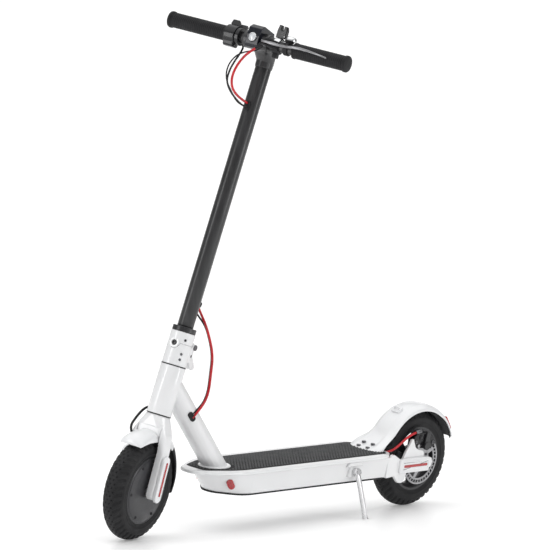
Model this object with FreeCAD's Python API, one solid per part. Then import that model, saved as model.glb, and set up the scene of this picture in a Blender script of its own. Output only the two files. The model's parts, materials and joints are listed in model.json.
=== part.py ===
import FreeCAD, Part
import math
import os

# Electric kick scooter with 8.5-inch tyres, resting on its kickstand with the front wheel turned a little.
# Every sub-part is drawn in an upright frame: +X to the rider's left, +Y backward, +Z up, origin on the
# ground under the front axle. Parts on the steering column are drawn in the column frame: x left, y backward
# across the column, z up along the steering axis. Both frames are then set into the resting attitude.

V = FreeCAD.Vector
AXIS_X = V(1, 0, 0)
AXIS_Y = V(0, 1, 0)
AXIS_Z = V(0, 0, 1)

# ---- driving dimensions, in millimetres and degrees ----
TYRE_RADIUS = 108.0
TYRE_SECTION = 24.0
WHEEL_BASE = 845.0
RAKE = 15.4
STEER_AT_REST = 12.0
LEAN_AT_REST = 6.75
WHEEL_BEHIND_AXIS = 5.0

HEAD_BOTTOM = 158.0
HEAD_TOP = 263.0
HEAD_RADIUS = 26.0
FOLD_LINE = 310.0
FOLD_PIN_BACK = 34.0
FOLD_RADIUS = 25.5
BLOCK_TOP = 334.0
COLLAR_TOP = 345.0
STEM_RADIUS = 17.0
STEM_TOP = 915.0
BAR_HEIGHT = 948.0
BAR_BACK = -50.0
BAR_RADIUS = 11.1
GRIP_END = 216.5
GRIP_START = 88.0
PASSAGE_HALF = 29.0
FENDER_HALF = 32.0
FENDER_WALL = 2.5

DECK_TOP = 139.5
DECK_BOTTOM = 86.0
RIM_HALF = 72.0
TUB_HALF = 67.0
MAT_HALF = 58.0
DECK_REAR = 700.0
ARM_OUTER = 50.0
ARM_THICK = 7.0

AXLE_RADIUS = 6.0
HUB_BORE = 11.0
RIM_SEAT = 68.0
RIM_HALF_WIDTH = 18.0
FLANGE_RADIUS = 71.5
FLANGE_X = 21.0
COVER_RADIUS = 70.5
COVER_FACE = 23.7
DISC_RADIUS = 55.0
DISC_X = 34.0
GAP = 0.4

KICK_PIVOT = V(76.0, 590.0, 112.0)
KICK_FOOT = V(98.0, 612.0, 6.0)

DOWN_TUBE_RADIUS = 24.0
DOWN_TUBE_FOOT = V(0, 223.0, 139.0)
DOWN_TUBE_HEAD = V(0, 47.5, 338.0)


# ---- small building blocks ----
def cylinder(radius, start, end):
    """Round bar from start to end."""
    along = end.sub(start)
    return Part.makeCylinder(radius, along.Length, start, along)


def pipe(outer, inner, start, end):
    """Round tube from start to end."""
    return cylinder(outer, start, end).cut(cylinder(inner, start, end))


def box(x_low, x_high, y_low, y_high, z_low, z_high):
    return Part.makeBox(x_high - x_low, y_high - y_low, z_high - z_low, V(x_low, y_low, z_low))


def wire(points):
    return Part.makePolygon(points + [points[0]])


def side_plate(outline, x_low, x_high):
    """Plate across X from an outline of (y, z) points."""
    face = Part.Face(wire([V(x_low, y, z) for y, z in outline]))
    return face.extrude(V(x_high - x_low, 0, 0))


def top_plate(outline, z_low, z_high):
    """Plate across Z from an outline of (x, y) points."""
    face = Part.Face(wire([V(x, y, z_low) for x, y in outline]))
    return face.extrude(V(0, 0, z_high - z_low))


def front_plate(outline, y_low, y_high):
    """Plate across Y from an outline of (x, z) points."""
    face = Part.Face(wire([V(x, y_low, z) for x, z in outline]))
    return face.extrude(V(0, y_high - y_low, 0))


def loft(wires):
    return Part.makeLoft(wires, True, True)


def rounded(shape, radius, wanted):
    """Fillet the edges that the test wanted(edge) picks."""
    edges = [edge for edge in shape.Edges if wanted(edge)]
    return shape.makeFillet(radius, edges)


def along(axis):
    """Edge test: straight edges that run along the axis."""
    def test(edge):
        if len(edge.Vertexes) != 2:
            return False
        way = edge.Vertexes[1].Point.sub(edge.Vertexes[0].Point)
        return way.Length > 0.5 and abs(way.dot(axis)) > 0.999 * way.Length
    return test


def mirrored(shape):
    return shape.mirror(V(0, 0, 0), AXIS_X)


def pair(shape):
    return Part.makeCompound([shape, mirrored(shape)])


def group(shapes):
    return Part.makeCompound(shapes)


def hexagon(radius, start, end):
    """Six-sided nut or bolt head from start to end, along X only."""
    points = []
    for k in range(6):
        turn = math.radians(60 * k)
        points.append(V(start.x, start.y + radius * math.cos(turn), start.z + radius * math.sin(turn)))
    return Part.Face(wire(points)).extrude(end.sub(start))


def stadium(half_width, z_low, z_high):
    """Oblong outline of (y, z) points about y = 0, with round ends at z_low and z_high."""
    points = []
    for middle, first in ((z_high - half_width, 0), (z_low + half_width, 180)):
        for k in range(9):
            turn = math.radians(first + 22.5 * k)
            points.append((half_width * math.cos(turn), middle + half_width * math.sin(turn)))
    return points


def cable(radius, points):
    """Tube along straight runs joined by tangent arcs, each as large as its runs allow."""
    edges = []
    last = points[0]
    radii = []
    for before, corner, after in zip(points, points[1:], points[2:]):
        way_in = corner.sub(before)
        way_out = after.sub(corner)
        reach = 0.45 * min(way_in.Length, way_out.Length)
        unit_in = way_in.normalize()
        unit_out = way_out.normalize()
        half_turn = unit_in.getAngle(unit_out) / 2
        radii.append(reach / math.tan(half_turn))
        start = corner.sub(unit_in * reach)
        end = corner.add(unit_out * reach)
        inward = unit_out.sub(unit_in).normalize()
        middle = corner.add(inward * (radii[-1] / math.cos(half_turn) - radii[-1]))
        edges.append(Part.LineSegment(last, start).toShape())
        edges.append(Part.Arc(start, middle, end).toShape())
        last = end
    edges.append(Part.LineSegment(last, points[-1]).toShape())
    path = Part.Wire(edges)
    first_way = points[1].sub(points[0])
    section = Part.Wire(Part.makeCircle(radius, points[0], first_way))
    tube = path.makePipeShell([section], True, False)
    print("cable radii", [round(r) for r in radii], "volume ratio",
          round(tube.Volume / (math.pi * radius ** 2 * path.Length), 3))
    return tube


# ---- resting attitude ----
def turned(axis, degrees):
    return FreeCAD.Placement(V(0, 0, 0), FreeCAD.Rotation(axis, degrees))


def shifted(vector):
    return FreeCAD.Placement(vector, FreeCAD.Rotation())


def lowest(centre, axle_way):
    """Height of a tyre's lowest point, from its centre and the way its axle points."""
    ring = TYRE_RADIUS - TYRE_SECTION
    return centre.z - ring * math.sqrt(1 - axle_way.z ** 2) - TYRE_SECTION


COLUMN_FOOT = V(0, -WHEEL_BEHIND_AXIS * math.cos(math.radians(RAKE)),
                TYRE_RADIUS + WHEEL_BEHIND_AXIS * math.sin(math.radians(RAKE)))
COLUMN = shifted(COLUMN_FOOT).multiply(turned(AXIS_X, -RAKE))
STEERED = COLUMN.multiply(turned(AXIS_Z, STEER_AT_REST))
FRONT_CENTRE = V(0, WHEEL_BEHIND_AXIS, 0)
REAR_CENTRE = V(0, WHEEL_BASE, TYRE_RADIUS)


def resting_attitude():
    """Lean, pitch and lift that put both tyres on the ground."""
    lean = turned(AXIS_Y, LEAN_AT_REST)
    steered = lean.multiply(STEERED)
    front_low = lowest(steered.multVec(FRONT_CENTRE), steered.Rotation.multVec(AXIS_X))
    rear_low = lowest(lean.multVec(REAR_CENTRE), lean.Rotation.multVec(AXIS_X))
    pitch = math.degrees(math.atan2(rear_low - front_low, WHEEL_BASE))
    tipped = turned(AXIS_X, -pitch).multiply(lean)
    lift = -lowest(tipped.multVec(REAR_CENTRE), tipped.Rotation.multVec(AXIS_X))
    return shifted(V(0, 0, lift)).multiply(tipped)


UPRIGHT_TO_REST = resting_attitude()


# ---- frame ----
def head_tube():
    return pipe(HEAD_RADIUS, 20.0, V(0, 0, HEAD_BOTTOM), V(0, 0, HEAD_TOP))


def headset():
    """Upper and lower bearing rings between the head tube and the steerer."""
    low = pipe(20.0, 15.06, V(0, 0, HEAD_BOTTOM + 1), V(0, 0, HEAD_BOTTOM + 10))
    high = pipe(20.0, 15.06, V(0, 0, HEAD_TOP - 10), V(0, 0, HEAD_TOP - 1))
    return group([low, high])


def down_tube():
    """Slanted tube with an oval weld flange on the deck."""
    way = DOWN_TUBE_HEAD.sub(DOWN_TUBE_FOOT).normalize()
    start = DOWN_TUBE_FOOT.sub(way * 40)
    body = cylinder(DOWN_TUBE_RADIUS, start, DOWN_TUBE_HEAD)
    flange = Part.Face(Part.Wire(Part.Ellipse(V(0, 0, 0), 38, 31).toShape()))
    flange = flange.extrude(V(0, 0, 4.5))
    flange.Placement = shifted(V(0, DOWN_TUBE_FOOT.y, DECK_TOP - 2.5)).multiply(turned(AXIS_Z, 90))
    flange = rounded(flange, 3.0, lambda edge: edge.BoundBox.ZMin > DECK_TOP + 1)
    body = body.fuse(flange)
    body = body.cut(cylinder(DOWN_TUBE_RADIUS - 2.5, start, DOWN_TUBE_HEAD))
    under = box(-60, 60, 100, 320, 40, DECK_TOP - 2.5)
    return body.cut(under)


def down_tube_trimmed():
    """Down tube coped to the head tube."""
    column = cylinder(HEAD_RADIUS, V(0, 0, 100), V(0, 0, 400))
    column = column.transformed(COLUMN.Matrix, True)
    solids = down_tube().cut(column).Solids
    return max(solids, key=lambda solid: solid.Volume)


def deck_outline(half, front, nose, corner, rear, rear_half, rear_corner):
    """Outline of the deck at one height: square nose, straight sides, narrowed tail."""
    left = [(nose, front), (half, corner), (half, rear_corner), (rear_half, rear)]
    right = [(-x, y) for x, y in reversed(left)]
    return left + right


def deck_wire(outline, height):
    return wire([V(x, y, height) for x, y in outline])


PLATE_LOW = DECK_TOP - 8.5
PLATE_TOP = DECK_TOP - 1.0
MAT_OUTLINE = deck_outline(MAT_HALF, 163, 27, 238, 710, 40, 684)


def tub_solid():
    """Outer form of the tub under the plate, without its hollow."""
    low = deck_outline(62, 208, 14, 252, DECK_REAR, 60, DECK_REAR - 6)
    high = deck_outline(TUB_HALF, 172, 18, 240, DECK_REAR, 64, DECK_REAR - 6)
    return loft([deck_wire(low, DECK_BOTTOM + 2), deck_wire(high, PLATE_LOW)])


def deck_shell():
    """Pressed tub with its rim: hollow below, a mat pocket on top, a hole for the charge socket."""
    low = deck_outline(59.5, 212, 13, 253, DECK_REAR - 3, 58, DECK_REAR - 8)
    high = deck_outline(TUB_HALF - 2.5, 176, 17, 242, DECK_REAR - 3, 62, DECK_REAR - 8)
    hollow = loft([deck_wire(low, DECK_BOTTOM + 1), deck_wire(high, PLATE_LOW + 0.1)])
    rim = top_plate(deck_outline(RIM_HALF, 137, 20, 234, 713, 45, 690), PLATE_LOW, PLATE_TOP)
    rim = rounded(rim, 2.5, lambda edge: not along(AXIS_Z)(edge))
    pocket = top_plate(MAT_OUTLINE, DECK_TOP - 2.5, DECK_TOP)
    socket = cylinder(9.0, V(PORT_X - 8, PORT_Y, PORT_Z), V(PORT_X + 20, PORT_Y, PORT_Z))
    return tub_solid().cut(hollow).fuse(rim).cut(pocket).cut(socket).removeSplitter()


MAT_PAD = (290.0, 600.0, 50.0)


def deck_mat():
    """Rubber mat with a slightly raised field, cut out round the down tube and the fender foot."""
    mat = top_plate(MAT_OUTLINE, DECK_TOP - 2.5, DECK_TOP - 0.6)
    front, rear, half = MAT_PAD
    field = box(-half, half, front, rear, DECK_TOP - 1.0, DECK_TOP)
    flange = Part.Face(Part.Wire(Part.Ellipse(V(0, 0, 0), 38.3, 31.3).toShape())).extrude(V(0, 0, 8))
    flange.Placement = shifted(V(0, DOWN_TUBE_FOOT.y, DECK_TOP - 4)).multiply(turned(AXIS_Z, 90))
    foot = box(-FOOT_HALF, FOOT_HALF, FOOT_BACK - 1, DECK_REAR + 20, DECK_TOP - 4, DECK_TOP + 1)
    return mat.fuse(field).cut(flange).cut(fender_ramp(0)).cut(foot).removeSplitter()


def bottom_cover():
    outline = deck_outline(63, 206, 14, 251, DECK_REAR - 4, 60, DECK_REAR - 10)
    return top_plate(outline, DECK_BOTTOM - 1, DECK_BOTTOM + 2)


def bottom_screws():
    screws = []
    for x in (-52, 52):
        for y in (260, 370, 480, 640):
            screws.append(cylinder(3.5, V(x, y, DECK_BOTTOM - 2.4), V(x, y, DECK_BOTTOM - 1)))
    return group(screws)


def battery_pack():
    pack = box(-48, 48, 330, 670, DECK_BOTTOM + 5, PLATE_LOW - 4)
    return rounded(pack, 6, along(AXIS_Y))


def controller():
    board = box(-40, 40, 250, 318, DECK_BOTTOM + 5, DECK_BOTTOM + 30)
    fins = [box(-38, 38, 254 + 8 * k, 257 + 8 * k, DECK_BOTTOM + 30, DECK_BOTTOM + 36) for k in range(8)]
    return board.multiFuse(fins)


# ---- charge port, on the right side of the tub ----
PORT_Y = 300.0
PORT_Z = 110.0
PORT_X = -66.5


def charge_port():
    """Round socket with a bore for the charger's plug and a centre pin behind it."""
    body = cylinder(9.0, V(PORT_X - 1.5, PORT_Y, PORT_Z), V(PORT_X + 16, PORT_Y, PORT_Z))
    return body.cut(cylinder(4.0, V(PORT_X - 3, PORT_Y, PORT_Z), V(PORT_X + 12, PORT_Y, PORT_Z)))


def charge_flap():
    """Hinged rubber cover over the socket."""
    plate = cylinder(10.5, V(PORT_X - 4.2, PORT_Y, PORT_Z), V(PORT_X - 2.0, PORT_Y, PORT_Z))
    strap = box(PORT_X - 4.2, PORT_X - 2.0, PORT_Y - 4, PORT_Y + 4, PORT_Z + 6, PORT_Z + 15)
    return plate.fuse(strap).removeSplitter()


# ---- side reflectors ----
def side_reflector():
    """Oblong lens on the tub's left wall, near the nose."""
    lens = side_plate(stadium(6.5, -10, 10), 0, 2.5)
    lean = math.degrees(math.atan2(5.0, 45.0))
    lens.Placement = shifted(V(64.9, 270, 112)).multiply(turned(AXIS_Y, lean)).multiply(turned(AXIS_X, 18))
    return lens


# ---- rear arms, fender and lamp ----
ARM_OUTLINE = [(DECK_REAR, 130.5), (715, 130.5), (719, 134), (728, 134), (742, 128), (760, 119),
               (852, 119), (864, 115), (868, 106), (864, 96), (852, 90), (786, 90), (780, 72), (772, 66),
               (760, 67), (748, 76), (738, 85), (DECK_REAR, 86)]


def rear_arm():
    """Left arm: a plate that bends inward from the tub to the drop-out."""
    profile = side_plate(ARM_OUTLINE, 20, 90)
    inner = ARM_OUTER - ARM_THICK
    strip = [(66, DECK_REAR), (66, 706), (ARM_OUTER, 760), (ARM_OUTER, 900), (inner, 900), (inner, 758),
             (59, 704), (59, DECK_REAR)]
    arm = top_plate(strip, 40, 160).common(profile)
    hole = cylinder(AXLE_RADIUS, V(20, WHEEL_BASE, TYRE_RADIUS), V(70, WHEEL_BASE, TYRE_RADIUS))
    return arm.cut(hole)


def arm_cover():
    """Left end cover over the axle nut: a hollow cap with a long raised bead."""
    x_low = ARM_OUTER
    x_high = ARM_OUTER + 8
    outer = box(x_low, x_high, 762, 862, 90, 119)
    outer = rounded(outer, 9, along(AXIS_X))
    outer = rounded(outer, 2.5, lambda edge: edge.BoundBox.XMin > x_high - 0.1)
    hollow = rounded(box(x_low - 1, x_high - 2, 765, 859, 93, 116), 6, along(AXIS_X))
    strip = box(x_high - 0.8, x_high + 1, 774, 850, 101.5, 107.5)
    return outer.cut(hollow).cut(strip)


def arm_strip():
    """Red reflective strip in the left cover."""
    x_high = ARM_OUTER + 8
    return box(x_high - 0.8, x_high + 0.3, 774, 850, 101.5, 107.5)


def arch_points(half, edge_radius, crown_radius, count=8):
    """Half-ellipse arch across a fender, as (x, radius) points from edge to edge."""
    points = []
    for k in range(count + 1):
        turn = math.pi * k / count
        rise = math.sin(turn) ** 0.8
        points.append((half * math.cos(turn), edge_radius + (crown_radius - edge_radius) * rise))
    return points


def arch_section(half, edge_radius, crown_radius):
    """Closed fender section as (x, radius) points: outer arch, then the inner one back."""
    outer = arch_points(half, edge_radius, crown_radius)
    inner = arch_points(half - FENDER_WALL, edge_radius, crown_radius - FENDER_WALL)
    return outer + inner[::-1]


def arch_wire(section, centre, turn):
    """Section set out from a wheel centre, turn degrees back from straight up."""
    angle = math.radians(turn)
    points = []
    for x, radius in section:
        points.append(centre.add(V(x, radius * math.sin(angle), radius * math.cos(angle))))
    return wire(points)


def arch(section, centre, start, end):
    """Fender band between two turns about the wheel's axle."""
    face = Part.Face(arch_wire(section, centre, start))
    return face.revolve(centre, AXIS_X, -(end - start))


REAR_EDGE = 107.5
REAR_CROWN = 121.0
REAR_SECTION = arch_section(FENDER_HALF, REAR_EDGE, REAR_CROWN)
RAMP_TURN = -52.0
TAIL_TURN = 32.0
LIP_TURN = 70.0
FOOT_HALF = 44.0
FOOT_BACK = 706.0
FOOT_LENGTH = 27.0
FOOT_SLOPE = 12.0


def hermite(start, start_way, end, end_way, share):
    """Point on a smooth curve that leaves start along start_way and arrives at end along end_way."""
    a = share * share * (3 - 2 * share)
    b = share * (1 - share) ** 2
    c = share * share * (share - 1)
    return start * (1 - a) + end * a + start_way * b + end_way * c


def ramp_line(place, wall, count=6):
    """Line down the ramp from the arch to the foot, at one place (0 to 1) across the fender."""
    turn = math.pi * place
    rise = math.sin(turn) ** 0.8
    angle = math.radians(RAMP_TURN)
    radius = REAR_EDGE + (REAR_CROWN - wall - REAR_EDGE) * rise
    top = REAR_CENTRE.add(V((FENDER_HALF - wall) * math.cos(turn), radius * math.sin(angle),
                            radius * math.cos(angle)))
    foot = V((FOOT_HALF - wall) * math.cos(turn), FOOT_BACK - (FOOT_LENGTH - wall) * rise, DECK_TOP - 2.5)
    length = foot.sub(top).Length
    leave = V(0, -math.cos(angle), math.sin(angle)) * length
    slope = math.radians(FOOT_SLOPE + (60 - FOOT_SLOPE) * (1 - rise))
    arrive = V(0, -math.cos(slope), -math.sin(slope)) * length
    return [hermite(top, leave, foot, arrive, k / count) for k in range(count + 1)]


def fender_ramp(wall):
    """Solid from the arch down to its foot on the deck, drawn inward by the wall."""
    lines = [ramp_line(k / 8, wall) for k in range(9)]
    return loft([wire([line[k] for line in lines]) for k in range(len(lines[0]))])


def on_ramp(x, y):
    """Point of the ramp's outer surface over a place on the deck."""
    probe = Part.makeLine(V(x, y, DECK_TOP), V(x, y, DECK_TOP + 100)).common(fender_ramp(0))
    return V(x, y, probe.BoundBox.ZMax)


BOLT_PLACES = [on_ramp(x, y) for x in (-13, 13) for y in (690, 706)]


def tail_wire(section, share):
    """One section of the flared tail, from the band's end (share 0) to the lip (share 1)."""
    turn = TAIL_TURN + (LIP_TURN - TAIL_TURN) * share
    edge = REAR_EDGE + 10.5 * share
    return arch_wire(section(FENDER_HALF - 10 * share, edge, REAR_CROWN + 6 * share), REAR_CENTRE, turn)


def rear_fender():
    """Arched rear fender with a foot on the deck and a flared tail."""
    band = arch(REAR_SECTION, REAR_CENTRE, RAMP_TURN, TAIL_TURN)
    tail = loft([tail_wire(arch_section, k / 4) for k in range(5)])
    ramp = fender_ramp(0).cut(fender_ramp(FENDER_WALL))
    fender = band.fuse(tail).fuse(ramp).removeSplitter()
    for place in BOLT_PLACES:
        fender = fender.cut(cylinder(2.6, place.sub(V(0, 0, 12)), place.add(V(0, 0, 12))))
    return fender


def fender_bolts():
    """Four cap screws through the fender's foot, down to the deck plate."""
    bolts = []
    for place in BOLT_PLACES:
        head = cylinder(4.6, place.add(V(0, 0, 1.2)), place.add(V(0, 0, 4.2)))
        shank = cylinder(2.5, V(place.x, place.y, DECK_TOP - 2.5), place.add(V(0, 0, 1.2)))
        bolts.append(head.fuse(shank).cut(fender_ramp(0)).fuse(shank))
    return group(bolts)


def folding_hook():
    """Small loop on the fender's crown that holds the folded handlebar."""
    seat = REAR_CENTRE.add(V(0, -56, 107.5))
    base = box(-11, 11, -9, 9, -3, 2.5)
    loop = box(-7, 7, -7, 7, 2.5, 9).cut(box(-4.5, 4.5, -10, 10, 2.5, 6.5))
    hook = base.fuse(loop)
    hook.Placement = shifted(seat).multiply(turned(AXIS_X, 28))
    crown = cylinder(REAR_CROWN, REAR_CENTRE.sub(V(20, 0, 0)), REAR_CENTRE.add(V(20, 0, 0)))
    return max(hook.cut(crown).Solids, key=lambda solid: solid.Volume)


def tail_light():
    """Oblong red lamp on the fender's tail."""
    lamp = box(-13, 13, -17, 17, -4, 7.5)
    lamp = rounded(lamp, 5, lambda edge: edge.BoundBox.ZMin > 7.4)
    lamp.Placement = shifted(REAR_CENTRE.add(V(0, 105, 68))).multiply(turned(AXIS_X, -54))
    inside = loft([tail_wire(arch_points, k / 4) for k in range(5)])
    return max(lamp.cut(inside).Solids, key=lambda solid: solid.Volume)


# ---- wheels, drawn about the X axis at the origin ----
def wheel_ring(outer, inner, x_low, x_high):
    return pipe(outer, inner, V(x_low, 0, 0), V(x_high, 0, 0))


def rim_flanges():
    left = wheel_ring(FLANGE_RADIUS, RIM_SEAT - 3, RIM_HALF_WIDTH, FLANGE_X)
    return [left, mirrored(left)]


def tyre():
    """Round-section tyre, hollow, seated on the rim."""
    ring = TYRE_RADIUS - TYRE_SECTION
    body = Part.makeTorus(ring, TYRE_SECTION, V(0, 0, 0), AXIS_X)
    body = body.cut(Part.makeTorus(ring, TYRE_SECTION - 4, V(0, 0, 0), AXIS_X))
    body = body.cut(cylinder(RIM_SEAT, V(-40, 0, 0), V(40, 0, 0)))
    return body.cut(rim_flanges()[0]).cut(rim_flanges()[1])


def rear_rim():
    """Cast rim: barrel, five-window web and a hub that takes the bearings and the brake disc."""
    barrel = wheel_ring(RIM_SEAT, RIM_SEAT - 4, -RIM_HALF_WIDTH, RIM_HALF_WIDTH)
    web = wheel_ring(RIM_SEAT - 4, 18, -4, 4)
    hub = wheel_ring(20, HUB_BORE, -24, 24).fuse(wheel_ring(25, HUB_BORE, 24, DISC_X - 0.9))
    rim = barrel.multiFuse([web, hub] + rim_flanges())
    for k in range(5):
        start = math.radians(72 * k + 14)
        end = math.radians(72 * k + 58)
        window = sector(26, 58, start, end, -6, 6)
        rim = rim.cut(window)
    return rim.removeSplitter()


def sector(r_low, r_high, start, end, x_low, x_high):
    """Ring sector about X, as a cutting tool."""
    middle = (start + end) / 2

    def at(radius, turn):
        return V(x_low, radius * math.cos(turn), radius * math.sin(turn))
    edges = [Part.Arc(at(r_high, start), at(r_high, middle), at(r_high, end)).toShape(),
             Part.LineSegment(at(r_high, end), at(r_low, end)).toShape(),
             Part.Arc(at(r_low, end), at(r_low, middle), at(r_low, start)).toShape(),
             Part.LineSegment(at(r_low, start), at(r_high, start)).toShape()]
    return Part.Face(Part.Wire(edges)).extrude(V(x_high - x_low, 0, 0))


def brake_disc():
    disc = wheel_ring(DISC_RADIUS, 12, DISC_X - 0.9, DISC_X + 0.9)
    for k in range(6):
        start = math.radians(60 * k + 8)
        end = math.radians(60 * k + 52)
        disc = disc.cut(sector(27, 39, start, end, DISC_X - 2, DISC_X + 2))
    for k in range(24):
        turn = math.radians(15 * k)
        radius = 45 + 3 * (k % 3)
        hole = V(DISC_X - 2, radius * math.cos(turn), radius * math.sin(turn))
        disc = disc.cut(cylinder(1.8, hole, hole.add(V(4, 0, 0))))
    return disc


def disc_bolts():
    bolts = []
    for k in range(5):
        turn = math.radians(72 * k + 36)
        place = V(DISC_X + 0.9, 20 * math.cos(turn), 20 * math.sin(turn))
        bolts.append(cylinder(3.2, place, place.add(V(1.8, 0, 0))))
    return group(bolts)


def bearings():
    """Plain bearing rings in both ends of a hub."""
    return pair(wheel_ring(HUB_BORE, AXLE_RADIUS + 0.06, 14, 22))


def hub_shell():
    """Hub motor's rotor: rim barrel, magnet ring and inner space for the stator."""
    barrel = wheel_ring(RIM_SEAT, 60, -RIM_HALF_WIDTH, RIM_HALF_WIDTH)
    return barrel.multiFuse(rim_flanges()).removeSplitter()


def motor_cover():
    """Left side cover of the hub motor: a plug in the barrel under a flat disc over the rim's flange."""
    plate = wheel_ring(60, HUB_BORE, 14, RIM_HALF_WIDTH)
    drum = wheel_ring(RIM_SEAT - 3.2, HUB_BORE, RIM_HALF_WIDTH, FLANGE_X + 0.1)
    face = Part.makeCone(COVER_RADIUS, COVER_RADIUS - 4.5, COVER_FACE - FLANGE_X - 0.1,
                         V(FLANGE_X + 0.1, 0, 0), AXIS_X)
    face = face.cut(cylinder(HUB_BORE, V(10, 0, 0), V(30, 0, 0)))
    return plate.multiFuse([drum, face]).removeSplitter()


def cover_screws():
    screws = []
    for k in range(6):
        turn = math.radians(60 * k + 15)
        place = V(COVER_FACE, 60 * math.cos(turn), 60 * math.sin(turn))
        screws.append(cylinder(2.8, place, place.add(V(1.2, 0, 0))))
    return pair(group(screws))


def motor_stator():
    """Stator stack with eighteen teeth, fixed on the axle."""
    core = wheel_ring(40, AXLE_RADIUS, -11, 11)
    teeth = []
    for k in range(18):
        turn = 20 * k
        tooth = box(-11, 11, 39, 56, -4, 4)
        tooth.rotate(V(0, 0, 0), AXIS_X, turn)
        teeth.append(tooth)
    return core.multiFuse(teeth)


def nut_pair(x_low, x_high):
    nut = hexagon(8.5, V(x_low, 0, 0), V(x_high, 0, 0))
    nut = nut.cut(cylinder(AXLE_RADIUS, V(x_low - 1, 0, 0), V(x_high + 1, 0, 0)))
    return pair(nut)


def at_rear(shape):
    return shape.translated(REAR_CENTRE)


def at_front(shape):
    return shape.translated(FRONT_CENTRE)


def rear_axle():
    axle = cylinder(AXLE_RADIUS, V(-55, 0, 0), V(55, 0, 0))
    sleeve = wheel_ring(8.5, AXLE_RADIUS - 0.5, 22.4, ARM_OUTER - ARM_THICK)
    return axle.multiFuse([sleeve, mirrored(sleeve)]).removeSplitter()


def front_axle():
    axle = cylinder(AXLE_RADIUS, V(-51, 0, 0), V(51, 0, 0))
    sleeve = wheel_ring(9, AXLE_RADIUS - 0.5, 24.2, PASSAGE_HALF)
    return axle.multiFuse([sleeve, mirrored(sleeve)]).removeSplitter()


# ---- rear brake ----
CALIPER_PIVOT = V(0, 846, 142)


def caliper_bracket():
    """Triangular plate standing on the left arm."""
    outline = [(770, 119), (778, 134), (789, 150), (793, 160), (799, 161), (803, 152), (808, 142), (818, 136),
               (834, 133), (838, 127), (838, 119)]
    return side_plate(outline, ARM_OUTER - ARM_THICK, ARM_OUTER - 1)


def caliper_body():
    """Two-sided caliper over the disc, joined at its top and bolted to the bracket."""
    outline = [(806, 137), (806, 160), (814, 170), (856, 170), (871, 161), (879, 148), (877, 138), (866, 136),
               (836, 136), (818, 138)]
    body = side_plate(outline, 25, ARM_OUTER - ARM_THICK)
    slot = side_plate([(800, 110), (800, 165), (900, 165), (900, 110)], 30.4, 37.6)
    return body.cut(slot)


def brake_pad(x_low, x_high):
    return side_plate([(830, 136), (832, 156), (856, 156), (860, 136)], x_low, x_high)


def caliper_arm():
    """Short arm that the cable pulls forward, on a stub shaft."""
    x_low = ARM_OUTER - ARM_THICK + GAP
    outline = [(839, 137), (839, 146), (844, 173), (854, 173), (854, 144), (853, 137)]
    arm = side_plate(outline, x_low, x_low + 4)
    stub = cylinder(9, CALIPER_PIVOT.add(V(x_low, 0, 0)), CALIPER_PIVOT.add(V(x_low + 7, 0, 0)))
    return arm.fuse(stub).removeSplitter()


FERRULE_START = V(45, 807, 174)
FERRULE_END = V(46, 822, 177)


def cable_ferrule():
    """Bright cable stop on the caliper's shoulder."""
    barrel = cylinder(4.2, FERRULE_START, FERRULE_END)
    post = box(38, 43, 809, 820, 170, 179)
    return post.fuse(barrel).removeSplitter()


# ---- kickstand ----
def kick_bracket():
    """Block on the tub's left wall that holds the stand's pivot."""
    block = box(65.5, 70, 574, 606, 98, 128)
    block = rounded(block, 5, along(AXIS_X))
    return box(60, 66, 576, 604, 100, 126).fuse(block).cut(tub_solid()).removeSplitter()


KICK_REST_WAY = KICK_FOOT.sub(KICK_PIVOT).normalize()
KICK_STOWED_WAY = V(0.02, 0.985, -0.17).normalize()
KICK_AXIS = KICK_REST_WAY.cross(KICK_STOWED_WAY).normalize()
KICK_TRAVEL = math.degrees(KICK_REST_WAY.getAngle(KICK_STOWED_WAY))


def kick_leg():
    """Round-edged leg with a pivot eye and a foot; the foot is cut flat on the ground later."""
    eye = cylinder(8.5, KICK_PIVOT.sub(KICK_AXIS * 3), KICK_PIVOT.add(KICK_AXIS * 5))
    start = KICK_PIVOT.add(KICK_REST_WAY * 7.8).add(KICK_AXIS * 2.0)
    leg = Part.makeCone(5.4, 5.2, 100, start, KICK_REST_WAY)
    toe = cylinder(6.5, KICK_FOOT.sub(KICK_REST_WAY * 6), KICK_FOOT.add(V(8, 11, -2)))
    bore = cylinder(4.0, KICK_PIVOT.sub(KICK_AXIS * 20), KICK_PIVOT.add(KICK_AXIS * 20))
    return eye.fuse(leg).fuse(toe).cut(bore).removeSplitter()


def kick_bolt():
    """Pivot bolt with a bright domed head."""
    shank = cylinder(3.95, KICK_PIVOT.sub(KICK_AXIS * 7.5), KICK_PIVOT.add(KICK_AXIS * 6))
    head = cylinder(6.0, KICK_PIVOT.add(KICK_AXIS * 5.4), KICK_PIVOT.add(KICK_AXIS * 8.5))
    return shank.fuse(head).cut(kick_bracket()).removeSplitter()


def kick_spring():
    """Three coils round the pivot, between the bracket and the leg."""
    coils = []
    for k in range(3):
        centre = KICK_PIVOT.sub(KICK_AXIS * (3.9 + 1.3 * k))
        coils.append(Part.makeTorus(7.2, 0.6, centre, KICK_AXIS))
    return group(coils).cut(kick_bracket())


# ---- steering column: fork, fender and lower folding head (column frame) ----
def box_wire(half, y_low, y_high, height, corner=5.0, count=4):
    """Rounded rectangle outline across the column at one height."""
    points = []
    corners = [(half - corner, y_high - corner, 0), (-half + corner, y_high - corner, 90),
               (-half + corner, y_low + corner, 180), (half - corner, y_low + corner, 270)]
    for x, y, first in corners:
        for k in range(count + 1):
            turn = math.radians(first + 90.0 * k / count)
            points.append(V(x + corner * math.cos(turn), y + corner * math.sin(turn), height))
    return wire(points)


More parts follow.
